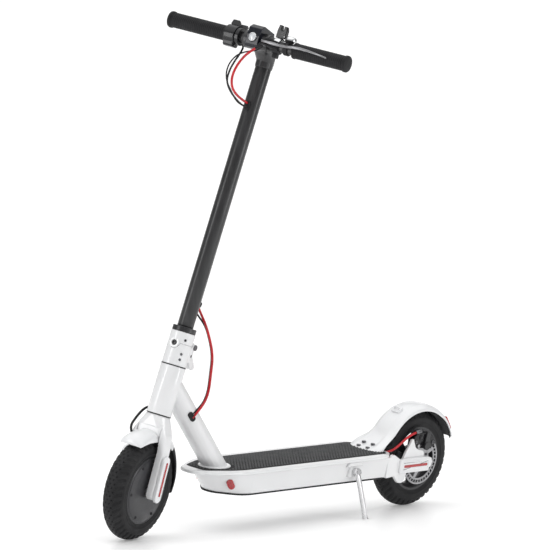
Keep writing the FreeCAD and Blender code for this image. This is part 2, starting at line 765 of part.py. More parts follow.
def fork():
    """Steerer, crown and two legs, open between the legs for the wheel and its fender."""
    crown = loft([box_wire(25, -25, 25, HEAD_BOTTOM - 1.2, 24.9), box_wire(33, -24, 24, 136, 18),
                  box_wire(40, -22, 21, 120, 13), box_wire(44, -19, 17, 102, 9),
                  box_wire(46, -14, 14, 84, 6)])
    legs = loft([box_wire(46, -14, 14, 84, 6), box_wire(46, -9, 19, 8, 6), box_wire(46, -7, 18, -8, 6),
                 box_wire(46, 0, 12, -14, 5)])
    between = box(-PASSAGE_HALF, PASSAGE_HALF, -60, 60, -60, 96)
    arch_gap = cylinder(134, V(-PASSAGE_HALF, WHEEL_BEHIND_AXIS, 0), V(PASSAGE_HALF, WHEEL_BEHIND_AXIS, 0))
    steerer = cylinder(15, V(0, 0, 150), V(0, 0, FOLD_LINE - 12))
    body = crown.fuse(legs).cut(between).cut(arch_gap).fuse(steerer)
    body = body.cut(cylinder(12, V(0, 0, 100), V(0, 0, 400)))
    hole = cylinder(AXLE_RADIUS, V(-80, WHEEL_BEHIND_AXIS, 0), V(80, WHEEL_BEHIND_AXIS, 0))
    return body.cut(hole).removeSplitter()


def fork_cover():
    """Left end cover on the fork leg, with a recess for its strip."""
    cover = side_plate(stadium(11.5, -18, 80), 46, 53.5)
    cover = rounded(cover, 2.5, lambda edge: edge.BoundBox.XMin > 53.4)
    hollow = side_plate(stadium(9.5, -15, 16), 45, 51.8)
    strip = box(52.8, 55, -2.5, 2.5, -4, 68)
    cover = cover.cut(hollow).cut(strip)
    cover.Placement = shifted(V(0, WHEEL_BEHIND_AXIS, 0)).multiply(turned(AXIS_X, 5))
    return cover


FRONT_EDGE = 105.0
FRONT_CROWN = 130.0
FLAP_TURN = 27.0


def front_wire(half, crown, turn):
    return arch_wire(arch_section(half, FRONT_EDGE, crown), FRONT_CENTRE, turn)


def front_fender():
    """Arched front fender under the fork crown, rounded off in front."""
    band = arch(arch_section(27, FRONT_EDGE, FRONT_CROWN), FRONT_CENTRE, -36, 15)
    tip = loft([front_wire(27, FRONT_CROWN, -36), front_wire(25, FRONT_CROWN - 1, -40)])
    rear = loft([front_wire(27, FRONT_CROWN, 15), front_wire(26, FRONT_CROWN - 3, FLAP_TURN)])
    saddle = box(-14, 14, -9, 15, 128, 142)
    gap = cylinder(129, V(-33, WHEEL_BEHIND_AXIS, 0), V(33, WHEEL_BEHIND_AXIS, 0))
    return band.multiFuse([tip, rear, saddle.cut(gap).cut(fork())]).removeSplitter()


def front_mudflap():
    """Black rear section of the front fender, narrowing downward."""
    sections = ((25.6, FRONT_CROWN - 3.4, FLAP_TURN + 0.2), (24, 121, 46), (22.5, 117.5, 66), (19, 116.5, 83))
    return loft([front_wire(half, crown, turn) for half, crown, turn in sections])


LEVER_BACK = 30.0
LEVER_UP = 291.0
SIDE_ANGLE = math.radians(-40)
SIDE_BOLTS = [(FOLD_RADIUS * math.cos(SIDE_ANGLE), FOLD_RADIUS * math.sin(SIDE_ANGLE), up)
              for up in (318.5, 289, 277.5)]


def fold_base():
    """Lower folding head on the steerer: round block, hinge lugs at the rear, latch recess at the front."""
    low = HEAD_TOP + 1.2
    body = cylinder(FOLD_RADIUS, V(0, 0, low), V(0, 0, FOLD_LINE - GAP / 2))
    rear_low = box(-17, 17, 10, 30, 276, FOLD_LINE - GAP / 2)
    lugs = box(-17, 17, 10, FOLD_PIN_BACK, 282, FOLD_LINE + 7)
    lugs = lugs.fuse(cylinder(7, V(-17, FOLD_PIN_BACK, FOLD_LINE), V(17, FOLD_PIN_BACK, FOLD_LINE)))
    lugs = lugs.cut(box(-30, 30, -40, 27, FOLD_LINE - GAP / 2, FOLD_LINE + 30))
    body = body.fuse(rear_low).fuse(lugs)
    body = body.cut(box(-12, 12, 23.4, 60, 270, FOLD_LINE + 20))
    body = body.cut(cylinder(9.5, V(-12, FOLD_PIN_BACK, FOLD_LINE), V(12, FOLD_PIN_BACK, FOLD_LINE)))
    body = body.cut(cylinder(15, V(0, 0, low - 1), V(0, 0, FOLD_LINE - 12)))
    recess = cylinder(11.5, V(0, -40, FOLD_LINE - 1), V(0, -13, FOLD_LINE - 1))
    body = body.cut(recess).cut(box(-11.5, 11.5, -40, -13, FOLD_LINE - 1, FOLD_LINE + 2))
    body = body.cut(cylinder(4.05, V(-40, FOLD_PIN_BACK, FOLD_LINE), V(40, FOLD_PIN_BACK, FOLD_LINE)))
    body = body.cut(cylinder(3.0, V(-40, LEVER_BACK, LEVER_UP), V(40, LEVER_BACK, LEVER_UP)))
    for x, y, z in SIDE_BOLTS[1:]:
        body = body.cut(cylinder(2.6, V(0, 0, z), V(x * 1.5, y * 1.5, z)))
    return max(body.removeSplitter().Solids, key=lambda solid: solid.Volume)


def side_bolt(place, radius):
    """Socket bolt let into the block's front left."""
    x, y, z = place
    return cylinder(radius, V(x * 0.72, y * 0.72, z), V(x * 1.012, y * 1.012, z))


def base_bolts():
    return group([side_bolt(place, 2.6) for place in SIDE_BOLTS[1:]])


def hinge_pin():
    """Fold hinge bolt, head on the left."""
    shank = cylinder(4.05, V(-17, FOLD_PIN_BACK, FOLD_LINE), V(17, FOLD_PIN_BACK, FOLD_LINE))
    head = cylinder(6, V(17, FOLD_PIN_BACK, FOLD_LINE), V(19.5, FOLD_PIN_BACK, FOLD_LINE))
    nut = cylinder(6, V(-19.5, FOLD_PIN_BACK, FOLD_LINE), V(-17, FOLD_PIN_BACK, FOLD_LINE))
    return shank.multiFuse([head, nut]).removeSplitter()


def lever_pin():
    return cylinder(3.0, V(-17, LEVER_BACK, LEVER_UP), V(17, LEVER_BACK, LEVER_UP))


def fold_lever():
    """Quick-release lever behind the head: pivot boss, S-shaped arm and flared tail."""
    outline = [(30, 297), (34, 296.5), (39, 294), (42, 289), (45, 283), (52, 277), (61, 274), (64, 270),
               (62, 266), (52, 267), (42, 272), (36, 279), (32, 284), (30, 286)]
    boss = cylinder(6, V(-11.5, LEVER_BACK, LEVER_UP), V(11.5, LEVER_BACK, LEVER_UP))
    pin_hole = cylinder(3.06, V(-20, LEVER_BACK, LEVER_UP), V(20, LEVER_BACK, LEVER_UP))
    return side_plate(outline, -11.5, 11.5).fuse(boss).cut(pin_hole).removeSplitter()


# ---- stem group (column frame) ----
def fold_block():
    """Upper folding head: block over the hinge, rear knuckle and front latch tongue."""
    low = FOLD_LINE + GAP / 2
    body = cylinder(FOLD_RADIUS, V(0, 0, low), V(0, 0, BLOCK_TOP))
    body = body.cut(box(-40, 40, 26.4, 60, low - 1, BLOCK_TOP + 1))
    side_room = box(-17.5, 17.5, 24.6, 60, low - 1, FOLD_LINE + 12)
    body = body.cut(side_room)
    knuckle = cylinder(8.5, V(-11.5, FOLD_PIN_BACK, FOLD_LINE), V(11.5, FOLD_PIN_BACK, FOLD_LINE))
    bridge = box(-11.5, 11.5, 14, FOLD_PIN_BACK, FOLD_LINE + 1, FOLD_LINE + 8.4)
    tongue = cylinder(11, V(0, -FOLD_RADIUS + 0.3, FOLD_LINE - 1), V(0, -16, FOLD_LINE - 1))
    body = body.multiFuse([knuckle, bridge, tongue])
    body = body.cut(cylinder(4.1, V(-20, FOLD_PIN_BACK, FOLD_LINE), V(20, FOLD_PIN_BACK, FOLD_LINE)))
    body = body.cut(cylinder(STEM_RADIUS, V(0, 0, low + 4), V(0, 0, BLOCK_TOP + 1)))
    body = body.cut(cylinder(12, V(0, 0, low - 2), V(0, 0, low + 6)))
    x, y, z = SIDE_BOLTS[0]
    body = body.cut(cylinder(2.6, V(0, 0, z), V(x * 1.5, y * 1.5, z)))
    body = body.cut(cylinder(5.6, V(0, -40, FOLD_LINE - 1), V(0, -19, FOLD_LINE - 1)))
    return max(body.removeSplitter().Solids, key=lambda solid: solid.Volume)


def latch_bolts():
    """Large front bolt and one small bolt in the upper head."""
    front = cylinder(5.6, V(0, -FOLD_RADIUS - 0.8, FOLD_LINE - 1), V(0, -19, FOLD_LINE - 1))
    socket = cylinder(2.8, V(0, -FOLD_RADIUS - 2, FOLD_LINE - 1), V(0, -FOLD_RADIUS + 1.5, FOLD_LINE - 1))
    return group([front.cut(socket), side_bolt(SIDE_BOLTS[0], 2.6)])


def clamp_collar():
    ring = pipe(25, STEM_RADIUS, V(0, 0, BLOCK_TOP), V(0, 0, COLLAR_TOP))
    return rounded(ring, 1.2, lambda edge: edge.BoundBox.XMax > 24.9 and edge.BoundBox.ZLength < 0.1)


def stem_tube():
    return pipe(STEM_RADIUS, STEM_RADIUS - 2.4, V(0, 0, FOLD_LINE + GAP / 2 + 4), V(0, 0, STEM_TOP))


YOKE_RADIUS = 18.5
YOKE_HALF = 29.0


def yoke():
    """Cast head: sleeve on the stem, forward-leaning neck and a cross barrel round the handlebar."""
    neck = loft([box_wire(18.6, -18.6, 18.6, STEM_TOP - 14, 18.5), box_wire(18.6, -19, 18.6, STEM_TOP, 17),
                 box_wire(19, -30, 13, 927, 12), box_wire(20, -44, 2, 936, 9),
                 box_wire(21, -58, -34, 946, 8)])
    barrel = cylinder(YOKE_RADIUS, V(-YOKE_HALF, BAR_BACK, BAR_HEIGHT), V(YOKE_HALF, BAR_BACK, BAR_HEIGHT))
    body = neck.fuse(barrel)
    body = body.cut(cylinder(BAR_RADIUS, V(-80, BAR_BACK, BAR_HEIGHT), V(80, BAR_BACK, BAR_HEIGHT)))
    return body.cut(cylinder(STEM_RADIUS, V(0, 0, STEM_TOP - 20), V(0, 0, STEM_TOP))).removeSplitter()


def on_bar(x, back=0.0, up=0.0):
    return V(x, BAR_BACK + back, BAR_HEIGHT + up)


def handlebar():
    return pipe(BAR_RADIUS, BAR_RADIUS - 2, on_bar(-GRIP_END + 3), on_bar(GRIP_END - 3))


def grip(start):
    """Left grip from the given x, with a flange at each end."""
    body = cylinder(15.5, on_bar(start), on_bar(GRIP_END))
    outer = cylinder(17.0, on_bar(GRIP_END - 8), on_bar(GRIP_END))
    outer = rounded(outer, 2.0, lambda edge: edge.BoundBox.XLength < 0.1)
    inner = cylinder(16.8, on_bar(start), on_bar(start + 4))
    bar = cylinder(BAR_RADIUS, on_bar(0), on_bar(GRIP_END - 3))
    return body.fuse(outer).fuse(inner).cut(bar).removeSplitter()


THROTTLE_OUTER = 75.0
THROTTLE_INNER = 50.0


def throttle_body():
    """Round housing beside the right grip, with a bulge below for its circuit."""
    drum = cylinder(20.5, on_bar(-THROTTLE_OUTER), on_bar(-THROTTLE_INNER))
    bulge = box(-THROTTLE_OUTER + 1, -THROTTLE_INNER - 1, BAR_BACK - 14, BAR_BACK + 12, BAR_HEIGHT - 25,
                BAR_HEIGHT)
    body = drum.fuse(rounded(bulge, 7, along(AXIS_X)))
    return body.cut(cylinder(BAR_RADIUS, on_bar(-100), on_bar(0))).removeSplitter()


def throttle_lever():
    """Thumb paddle on a ring round the bar, inboard of the housing."""
    inner = -THROTTLE_INNER + 0.5
    ring = pipe(18.5, BAR_RADIUS + GAP, on_bar(inner), on_bar(inner + 9))
    neck = box(inner, inner + 9, 12, 28, -4, 4)
    beam = box(-70, inner + 9, 22.5, 28, -3.5, 4)
    paddle = rounded(box(-80, -62, 22.5, 36, -3.5, 4), 3, along(AXIS_Z))
    blade = neck.multiFuse([beam, paddle])
    blade.Placement = shifted(on_bar(0)).multiply(turned(AXIS_X, 62))
    bore = cylinder(BAR_RADIUS + GAP, on_bar(-90), on_bar(-40))
    return ring.fuse(blade).cut(bore).removeSplitter()


BRAKE_PIVOT = V(34, -82, 948)
BRAKE_BARREL_END = V(20, -82, 934)


def brake_clamp():
    """Bright clamp round the bar with a perch that carries the lever's pivot."""
    ring = pipe(16.5, BAR_RADIUS, on_bar(40), on_bar(55))
    perch = top_plate([(40, -62), (55, -62), (50, -74), (42, -90), (28, -90), (24, -78), (36, -66)],
                      BRAKE_PIVOT.z - 8, BRAKE_PIVOT.z + 8)
    slot = box(16, 70, -120, -70, BRAKE_PIVOT.z - 3.8, BRAKE_PIVOT.z + 3.8)
    strap = box(43, 52, BAR_BACK - 6, BAR_BACK + 6, BAR_HEIGHT - 25, BAR_HEIGHT - 14)
    body = ring.fuse(perch).cut(slot).fuse(strap)
    body = body.cut(cylinder(BAR_RADIUS, on_bar(0), on_bar(100)))
    body = body.fuse(cylinder(4.5, V(27, -82, 943), BRAKE_BARREL_END))
    pin = cylinder(3.0, BRAKE_PIVOT.sub(V(0, 0, 9)), BRAKE_PIVOT.add(V(0, 0, 9)))
    return body.fuse(pin).removeSplitter()


def brake_lever():
    """Long curved blade from the pivot to a ball tip in front of the left grip."""
    front = [(28, -90), (40, -92), (62, -92), (84, -96), (104, -101), (124, -101), (146, -97),
             (168, -94), (184, -95)]
    rear = [(184, -90), (168, -88), (146, -90), (124, -93), (104, -92), (84, -87), (62, -83),
            (44, -76), (34, -75), (28, -79)]
    blade = top_plate(front + rear, BRAKE_PIVOT.z - 3.4, BRAKE_PIVOT.z + 3.4)
    tip = Part.makeSphere(5, V(185, -93, BRAKE_PIVOT.z))
    bore = cylinder(3.06, BRAKE_PIVOT.sub(V(0, 0, 12)), BRAKE_PIVOT.add(V(0, 0, 12)))
    return blade.fuse(tip).cut(bore).removeSplitter()


STRIKER_PIVOT = on_bar(57.6, 0, 22)


def bell_body():
    """Bell: band round the bar, base, bright dome and the ear that holds the striker."""
    band = pipe(14.5, BAR_RADIUS, on_bar(66), on_bar(76))
    base = cylinder(9, on_bar(71, 0, 13), on_bar(71, 0, 17.5))
    dome = Part.makeSphere(12, on_bar(73, 0, 16.5))
    dome = dome.cut(box(40, 100, -100, 0, 900, BAR_HEIGHT + 16.5))
    flat = dome.cut(box(40, 100, -100, 0, BAR_HEIGHT + 25.5, 1000))
    ear = box(55.4, 60, BAR_BACK + 5.4, BAR_BACK + 7.4, BAR_HEIGHT + 13, BAR_HEIGHT + 25.5)
    foot = box(55.4, 68, BAR_BACK + 5.4, BAR_BACK + 7.4, BAR_HEIGHT + 13, BAR_HEIGHT + 16.2)
    pin = cylinder(1.5, STRIKER_PIVOT.sub(V(0, 5, 0)), STRIKER_PIVOT.add(V(0, 6, 0)))
    return band.multiFuse([base, flat, ear, foot, pin]).removeSplitter()


def bell_striker():
    """Black two-pronged thumb lever beside the dome."""
    outline = [(38, 17.5), (58, 17.5), (60, 22), (60, 34), (57, 43), (52, 43), (52, 33), (47, 33),
               (45, 44), (40, 44), (38, 34)]
    prongs = [(x, BAR_HEIGHT + up) for x, up in outline]
    lever = front_plate(prongs, BAR_BACK - 5, BAR_BACK + 5)
    return lever.cut(cylinder(1.56, STRIKER_PIVOT.sub(V(0, 9, 0)), STRIKER_PIVOT.add(V(0, 9, 0))))


DISPLAY_HALF = 15.0


def display_housing():
    """Cover over the bar's middle: headlight nose in front, sloping display on top."""
    outline = [(-74, 931), (-78, 938), (-79, 956), (-77, 972), (-66, 979), (-22, 973), (-19, 968), (-27, 955),
               (-40, 944), (-62, 933)]
    body = side_plate(outline, -DISPLAY_HALF, DISPLAY_HALF)
    body = rounded(body, 2.5, lambda edge: edge.BoundBox.XLength > 20 and edge.BoundBox.ZMin > 955)
    body = body.cut(cylinder(YOKE_RADIUS, on_bar(-60), on_bar(60)))
    body = body.cut(cylinder(9.2, V(0, -90, 952), V(0, -75, 952)))
    body = body.cut(cylinder(4.5, V(0, -34.6, 968), V(0, -33, 980)))
    return max(body.cut(yoke()).Solids, key=lambda solid: solid.Volume)


def headlight_bezel():
    return pipe(9.2, 7.4, V(0, -81, 952), V(0, -75, 952))


def headlight_lens():
    lens = cylinder(7.4, V(0, -80, 952), V(0, -75, 952))
    return rounded(lens, 1.5, lambda edge: edge.BoundBox.YMax < -79.9)


def power_button():
    """Round push button behind the window."""
    return cylinder(4.1, V(0, -34.2, 970.5), V(0, -33.75, 975.6))


# ---- grommets and cables ----
def stem_grommet(way, height):
    """Oblong rubber grommet on the stem's wall, facing front (-1) or rear (+1)."""
    pad = box(-5, 5, 14, 21.5, -10, 10)
    pad = rounded(pad, 4.5, along(AXIS_Y))
    pad.Placement = shifted(V(0, 0, height)).multiply(turned(AXIS_Z, 0 if way > 0 else 180))
    return pad.cut(cylinder(STEM_RADIUS, V(0, 0, height - 30), V(0, 0, height + 30)))


def stem_grommets():
    return group([stem_grommet(-1, 818), stem_grommet(1, LOOP_TOP)])


LOOP_TOP = 392.0
TUBE_GROMMET = V(0, 115.5, 261)
GROMMET_TURN = -15.0


def tube_grommet_place():
    """Place of the down tube's grommet: x out of the wall, z up along the tube."""
    way = DOWN_TUBE_HEAD.sub(DOWN_TUBE_FOOT)
    slope = math.degrees(math.atan2(-way.y, way.z))
    tilted = shifted(TUBE_GROMMET).multiply(turned(AXIS_X, slope))
    return tilted.multiply(turned(AXIS_Z, GROMMET_TURN))


def down_tube_grommet():
    """Oblong rubber grommet on the down tube's left side."""
    pad = rounded(box(18, 27.5, -6, 6, -12, 12), 5.5, along(AXIS_X))
    pad.Placement = tube_grommet_place()
    return pad.cut(cylinder(DOWN_TUBE_RADIUS, DOWN_TUBE_FOOT, DOWN_TUBE_HEAD))


BRAKE_CABLE = 2.5
BLACK_CABLE = 2.0
SENSOR_CABLE = 1.5


def upper_brake_cable():
    """Red cable: lever perch, bow in front of the stem, front grommet."""
    return cable(BRAKE_CABLE, [BRAKE_BARREL_END, V(8, -92, 918), V(2, -108, 890), V(-3, -109, 862),
                               V(-6, -92, 841), V(-5, -68, 830), V(-2, -40, 824), V(-1.5, -21.5, 822)])


def throttle_cable():
    """Black cable from the throttle's inboard side to the front grommet."""
    return cable(BLACK_CABLE, [V(-51, -50, 927), V(-40, -54, 922), V(-35, -67, 899), V(-29, -84, 872),
                               V(-24, -90, 848), V(-14, -76, 830), V(-3, -52, 817), V(2, -36, 814),
                               V(2, -21.5, 814)])


def sensor_cable():
    """Thin black cable from the brake lever's switch to the front grommet."""
    return cable(SENSOR_CABLE, [V(24, -70, 940), V(19, -71, 922), V(-6, -78, 908), V(-21, -92, 890),
                                V(-24, -100, 868), V(-18, -94, 848), V(-9, -74, 829), V(-7, -54, 818),
                                V(-3.5, -38, 814), V(-2.4, -21.5, 813.5)])


LOOP_MIDDLE = V(16, 162, 362)


def column_point(x, back, up):
    """Upright position of a point given in the turned column's frame."""
    return STEERED.multVec(V(x, back, up))


def lower_loop(radius, aside, low):
    """Upper and lower halves of one cable from the stem's rear grommet to the down tube."""
    start = column_point(aside, 21.5, LOOP_TOP + low)
    leave = column_point(aside, 32, LOOP_TOP - 9 + low)
    middle = LOOP_MIDDLE.add(V(aside, -0.5 * aside, 0))
    upper = [start, leave, middle.add(V(-7, -23, 82)), middle.add(V(-2, -7, 42)), middle.add(V(0, 0, 14)),
             middle]
    end = tube_grommet_place().multVec(V(27.5, 0, low))
    lower = [middle, middle.add(V(0, 0, -14)), middle.add(V(2, -7, -46)), middle.add(V(5, -26, -78)),
             end.add(V(8, 12, 16)), end]
    return cable(radius, upper), cable(radius, lower)


RED_UPPER, RED_LOWER = lower_loop(BRAKE_CABLE, 2.6, 4.0)
BLACK_UPPER, BLACK_LOWER = lower_loop(BLACK_CABLE, -2.6, -4.0)


def motor_cable():
    """Motor lead: out of the head tube's right side, bowed forward, into the fork's right leg."""
    start = COLUMN.multVec(V(-HEAD_RADIUS - 1.5, -4, MOTOR_LEAD_HEIGHT))
    end = column_point(-35, -19.5, 104)
    return cable(2.6, [start, start.add(V(-8, -3, -2)), column_point(-41, -15, 140), end.add(V(-4, -8, 14)),
                       end])


MOTOR_LEAD_HEIGHT = 168.0


def motor_grommet():
    """Grommet on the head tube's right side."""
    ring = cylinder(4.5, V(-HEAD_RADIUS - 1.5, -4, MOTOR_LEAD_HEIGHT), V(-22, -4, MOTOR_LEAD_HEIGHT))
    return ring.cut(cylinder(HEAD_RADIUS, V(0, 0, 150), V(0, 0, 200)))


def rear_brake_cable():
    """Red cable from the deck's tail, over the arm, up to the caliper's ferrule."""
    return cable(BRAKE_CABLE, [V(38, 713.5, 135), V(40, 734, 136), V(42, 756, 147), V(44, 776, 162),
                               V(44.5, 792, 170), FERRULE_START])


# ---- assembly ----
def to_rest(shape, place):
    return shape.transformed(UPRIGHT_TO_REST.multiply(place).Matrix, True)


UPRIGHT = FreeCAD.Placement()
ROOT_PARTS = {
    "deck_shell": group([deck_shell(), kick_bracket()]),
    "deck_mat": deck_mat(),
    "bottom_cover": bottom_cover(),
    "frame_fasteners": group([bottom_screws(), fender_bolts(), cable_ferrule()]),
    "battery_pack": battery_pack(),
    "controller": controller(),
    "down_tube": down_tube_trimmed(),
    "frame_grommets": group([down_tube_grommet(), motor_grommet().transformed(COLUMN.Matrix, True)]),
    "charge_port": charge_port(),
    "charge_flap": charge_flap(),
    "reflectors": group([pair(side_reflector()), pair(arm_strip())]),
    "rear_arms": group([rear_arm(), mirrored(rear_arm()), caliper_bracket()]),
    "arm_covers": pair(arm_cover()),
    "rear_fender": group([rear_fender(), folding_hook()]),
    "tail_light": tail_light(),
    "caliper_body": group([caliper_body(), brake_pad(30.4, 32.6)]),
    "moving_pad": brake_pad(35.5, 37.2),
    "caliper_arm": caliper_arm(),
    "rear_brake_cable": rear_brake_cable(),
    "rear_axle": group([at_rear(rear_axle()), at_rear(nut_pair(ARM_OUTER, 54.5))]),
    "rear_rim": group([at_rear(rear_rim()), at_rear(bearings())]),
    "rear_tyre": at_rear(tyre()),
    "brake_disc": group([at_rear(brake_disc()), at_rear(disc_bolts())]),
    "kick_pivot": group([kick_bolt(), kick_spring()]),
    "kick_leg": kick_leg(),
    "loop_cables_lower": group([RED_LOWER, BLACK_LOWER]),
    "loop_cables_upper": group([RED_UPPER, BLACK_UPPER]),
    "motor_cable": motor_cable(),
}
HEAD_PARTS = {"head_tube": head_tube(), "headset": headset()}
STEERED_PARTS = {
    "fork": fork(),
    "fork_covers": pair(fork_cover()),
    "front_fender": front_fender(),
    "front_mudflap": front_mudflap(),
    "front_axle": group([at_front(front_axle()), at_front(nut_pair(46, 50.5))]),
    "motor_stator": at_front(motor_stator()),
    "hub_shell": group([at_front(hub_shell()), at_front(bearings())]),
    "motor_covers": group([at_front(pair(motor_cover())), at_front(cover_screws())]),
    "front_tyre": at_front(tyre()),
    "fold_base": fold_base(),
    "fold_pins": group([base_bolts(), hinge_pin(), lever_pin()]),
    "fold_lever": fold_lever(),
    "fold_block": fold_block(),
    "clamp_collar": group([clamp_collar(), latch_bolts()]),
    "stem_tube": stem_tube(),
    "yoke": yoke(),
    "handlebar": handlebar(),
    "grips": group([grip(GRIP_START), mirrored(grip(THROTTLE_OUTER + 1))]),
    "throttle_body": throttle_body(),
    "throttle_lever": throttle_lever(),
    "brake_clamp": brake_clamp(),
    "brake_lever": brake_lever(),
    "bell_body": bell_body(),
    "bell_striker": bell_striker(),
    "display_housing": display_housing(),
    "power_button": power_button(),
    "headlight": group([headlight_bezel(), headlight_lens()]),
    "stem_grommets": stem_grommets(),
    "upper_brake_cable": upper_brake_cable(),
    "black_cables": group([throttle_cable(), sensor_cable()]),
}
RESTING = {}
for parts, place in ((ROOT_PARTS, UPRIGHT), (HEAD_PARTS, COLUMN), (STEERED_PARTS, STEERED)):
    for name, shape in parts.items():
        RESTING[name] = to_rest(shape, place)

GROUND = box(-2000, 2000, -2000, 2000, -100, 0)
RESTING["kick_leg"] = RESTING["kick_leg"].cut(GROUND)

# Pieces cut back where a neighbour is let into them.
SEATS = (("rear_fender", ["deck_shell"]), ("deck_mat", ["rear_fender"]),
         ("stem_grommets", ["upper_brake_cable", "black_cables", "loop_cables_upper"]),
         ("frame_grommets", ["loop_cables_lower", "motor_cable"]),
         ("brake_clamp", ["upper_brake_cable", "black_cables"]), ("throttle_body", ["black_cables"]),
         ("frame_fasteners", ["rear_brake_cable"]), ("fork", ["motor_cable"]))
for name, neighbours in SEATS:
    for neighbour in neighbours:
        RESTING[name] = RESTING[name].cut(RESTING[neighbour])

# The row's origin is on the ground, at the middle of the resting scooter's footprint.
extent = FreeCAD.BoundBox()
for shape in RESTING.values():
    extent.add(shape.optimalBoundingBox(False))
FOOTPRINT_MIDDLE = V(extent.Center.x, extent.Center.y, 0)

os.makedirs("parts", exist_ok=True)
for name, shape in RESTING.items():
    placed = shape.translated(FOOTPRINT_MIDDLE.negative())
    placed.exportStep("parts/" + name + ".step")
    if not placed.isValid() or not placed.Solids:
        print("CHECK", name, placed.isValid(), len(placed.Solids))
print(len(RESTING), "nodes, size", [round(n, 1) for n in (extent.XLength, extent.YLength, extent.ZLength)],
      "bottom", round(extent.ZMin, 2), "middle", FOOTPRINT_MIDDLE)
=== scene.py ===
import json
from math import atan2, copysign, cos, exp, pi, radians, sin, sqrt

import bmesh
import bpy
from mathutils import Matrix, Vector


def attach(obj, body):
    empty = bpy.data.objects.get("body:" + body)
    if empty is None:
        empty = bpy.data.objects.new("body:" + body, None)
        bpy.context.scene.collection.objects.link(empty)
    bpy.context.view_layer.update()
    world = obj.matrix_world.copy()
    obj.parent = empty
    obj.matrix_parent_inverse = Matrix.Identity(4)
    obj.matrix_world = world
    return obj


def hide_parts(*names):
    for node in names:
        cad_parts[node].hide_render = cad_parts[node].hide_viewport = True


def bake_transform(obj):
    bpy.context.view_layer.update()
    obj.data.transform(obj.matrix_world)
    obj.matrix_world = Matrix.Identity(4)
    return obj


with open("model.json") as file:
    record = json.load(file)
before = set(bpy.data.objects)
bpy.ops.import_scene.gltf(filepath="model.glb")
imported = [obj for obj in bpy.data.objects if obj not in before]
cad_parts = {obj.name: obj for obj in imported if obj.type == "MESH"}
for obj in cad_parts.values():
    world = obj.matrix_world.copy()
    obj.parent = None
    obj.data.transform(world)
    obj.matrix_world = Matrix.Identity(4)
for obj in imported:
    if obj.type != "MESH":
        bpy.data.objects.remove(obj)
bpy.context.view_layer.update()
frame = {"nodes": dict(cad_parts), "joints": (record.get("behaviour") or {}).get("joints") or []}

# Looks for the electric kick scooter. Shapes are given in millimetres in local frames read off the packed
# joints: UPRIGHT (x to the rider's left, y backward, z up, origin on the ground under the front wheel), COLUMN
# (z up the steering axis), STEERED (COLUMN turned with the handlebar), BAR, and one at each wheel's centre.

MM = 0.001
RAKE = radians(15.4)
WHEEL_BASE = 845.0
TYRE_RADIUS = 108.0
WHEEL_BEHIND_AXIS = 5.0


# ---- places, from the joints ----
def joint(name):
    return next(j for j in frame["joints"] if j["name"] == name)


def placement(origin, x_way, z_way):
    """Local millimetres to the row frame's metres."""
    x_way = Vector(x_way).normalized()
    z_way = Vector(z_way).normalized()
    turn = Matrix((x_way, z_way.cross(x_way), z_way)).transposed()
    return Matrix.Translation(origin) @ (turn * MM).to_4x4()


def upright_place():
    rear = joint("rear_wheel_spin")
    column_up = Vector(joint("steering")["axis"])
    x_way = Vector(rear["axis"])
    back = column_up.cross(x_way)
    y_way = back * cos(RAKE) + column_up * sin(RAKE)
    z_way = column_up * cos(RAKE) - back * sin(RAKE)
    origin = Vector(rear["pos_m"]) - (y_way * WHEEL_BASE + z_way * TYRE_RADIUS) * MM
    return placement(origin, x_way, z_way)


UPRIGHT = upright_place()
STEERING = joint("steering")
COLUMN = placement(Vector(STEERING["pos_m"]), joint("rear_wheel_spin")["axis"], STEERING["axis"])
STEERED = placement(Vector(STEERING["pos_m"]), joint("front_wheel_spin")["axis"], STEERING["axis"])
REAR_WHEEL = UPRIGHT @ Matrix.Translation((0, WHEEL_BASE, TYRE_RADIUS))
FRONT_WHEEL = STEERED @ Matrix.Translation((0, WHEEL_BEHIND_AXIS, 0))


# ---- camera ----
CAMERA_AZIMUTH = radians(42.485)
CAMERA_ELEVATION = radians(5.326)
CAMERA_ROLL = radians(1.566)
CAMERA_DISTANCE = 10.148
CAMERA_LENS = 317.5
SIGHT_FROM_HEAD = Vector((-0.0128, 0.3049, 0.3921))
SIGHT_OFFSET = (0.0765, 0.0307)


def make_camera():
    """Long lens from the front left, a little above the deck."""
    sin_a, cos_a = sin(CAMERA_AZIMUTH), cos(CAMERA_AZIMUTH)
    sin_e, cos_e = sin(CAMERA_ELEVATION), cos(CAMERA_ELEVATION)
    back = Vector((sin_a * cos_e, -cos_a * cos_e, sin_e))
    level = Vector((cos_a, sin_a, 0))
    rise = back.cross(level)
    right = level * cos(CAMERA_ROLL) + rise * sin(CAMERA_ROLL)
    up = rise * cos(CAMERA_ROLL) - level * sin(CAMERA_ROLL)
    data = bpy.data.cameras.new("camera")
    data.lens = CAMERA_LENS
    data.sensor_width = 36.0
    data.clip_start = 0.1
    data.clip_end = 100.0
    camera = bpy.data.objects.new("camera", data)
    bpy.context.scene.collection.objects.link(camera)
    target = Vector(joint("steering")["pos_m"]) + SIGHT_FROM_HEAD
    where = target + back * CAMERA_DISTANCE + right * SIGHT_OFFSET[0] + up * SIGHT_OFFSET[1]
    camera.matrix_world = Matrix.Translation(where) @ Matrix((right, up, back)).transposed().to_4x4()
    bpy.context.scene.camera = camera


# ---- floor, light ----
WALL_LIGHT = 0.3
CEILING_LIGHT = 1.4
CEILING_HEIGHTS = (0.45, 0.8)
WHITE_WALL_EDGE = (0.86, 0.96)
FLOOR_SIZE = 60
FLOOR_GLOW = 0.16
STRIP_SIZE = (0.55, 2.2)
STRIP_TARGET = Vector((0, -0.2, 0.6))
STRIPS = (("left_strip", (-0.9, -2.86, 1.1), 22), ("right_strip", (2.93, 0.65, 1.1), 24))


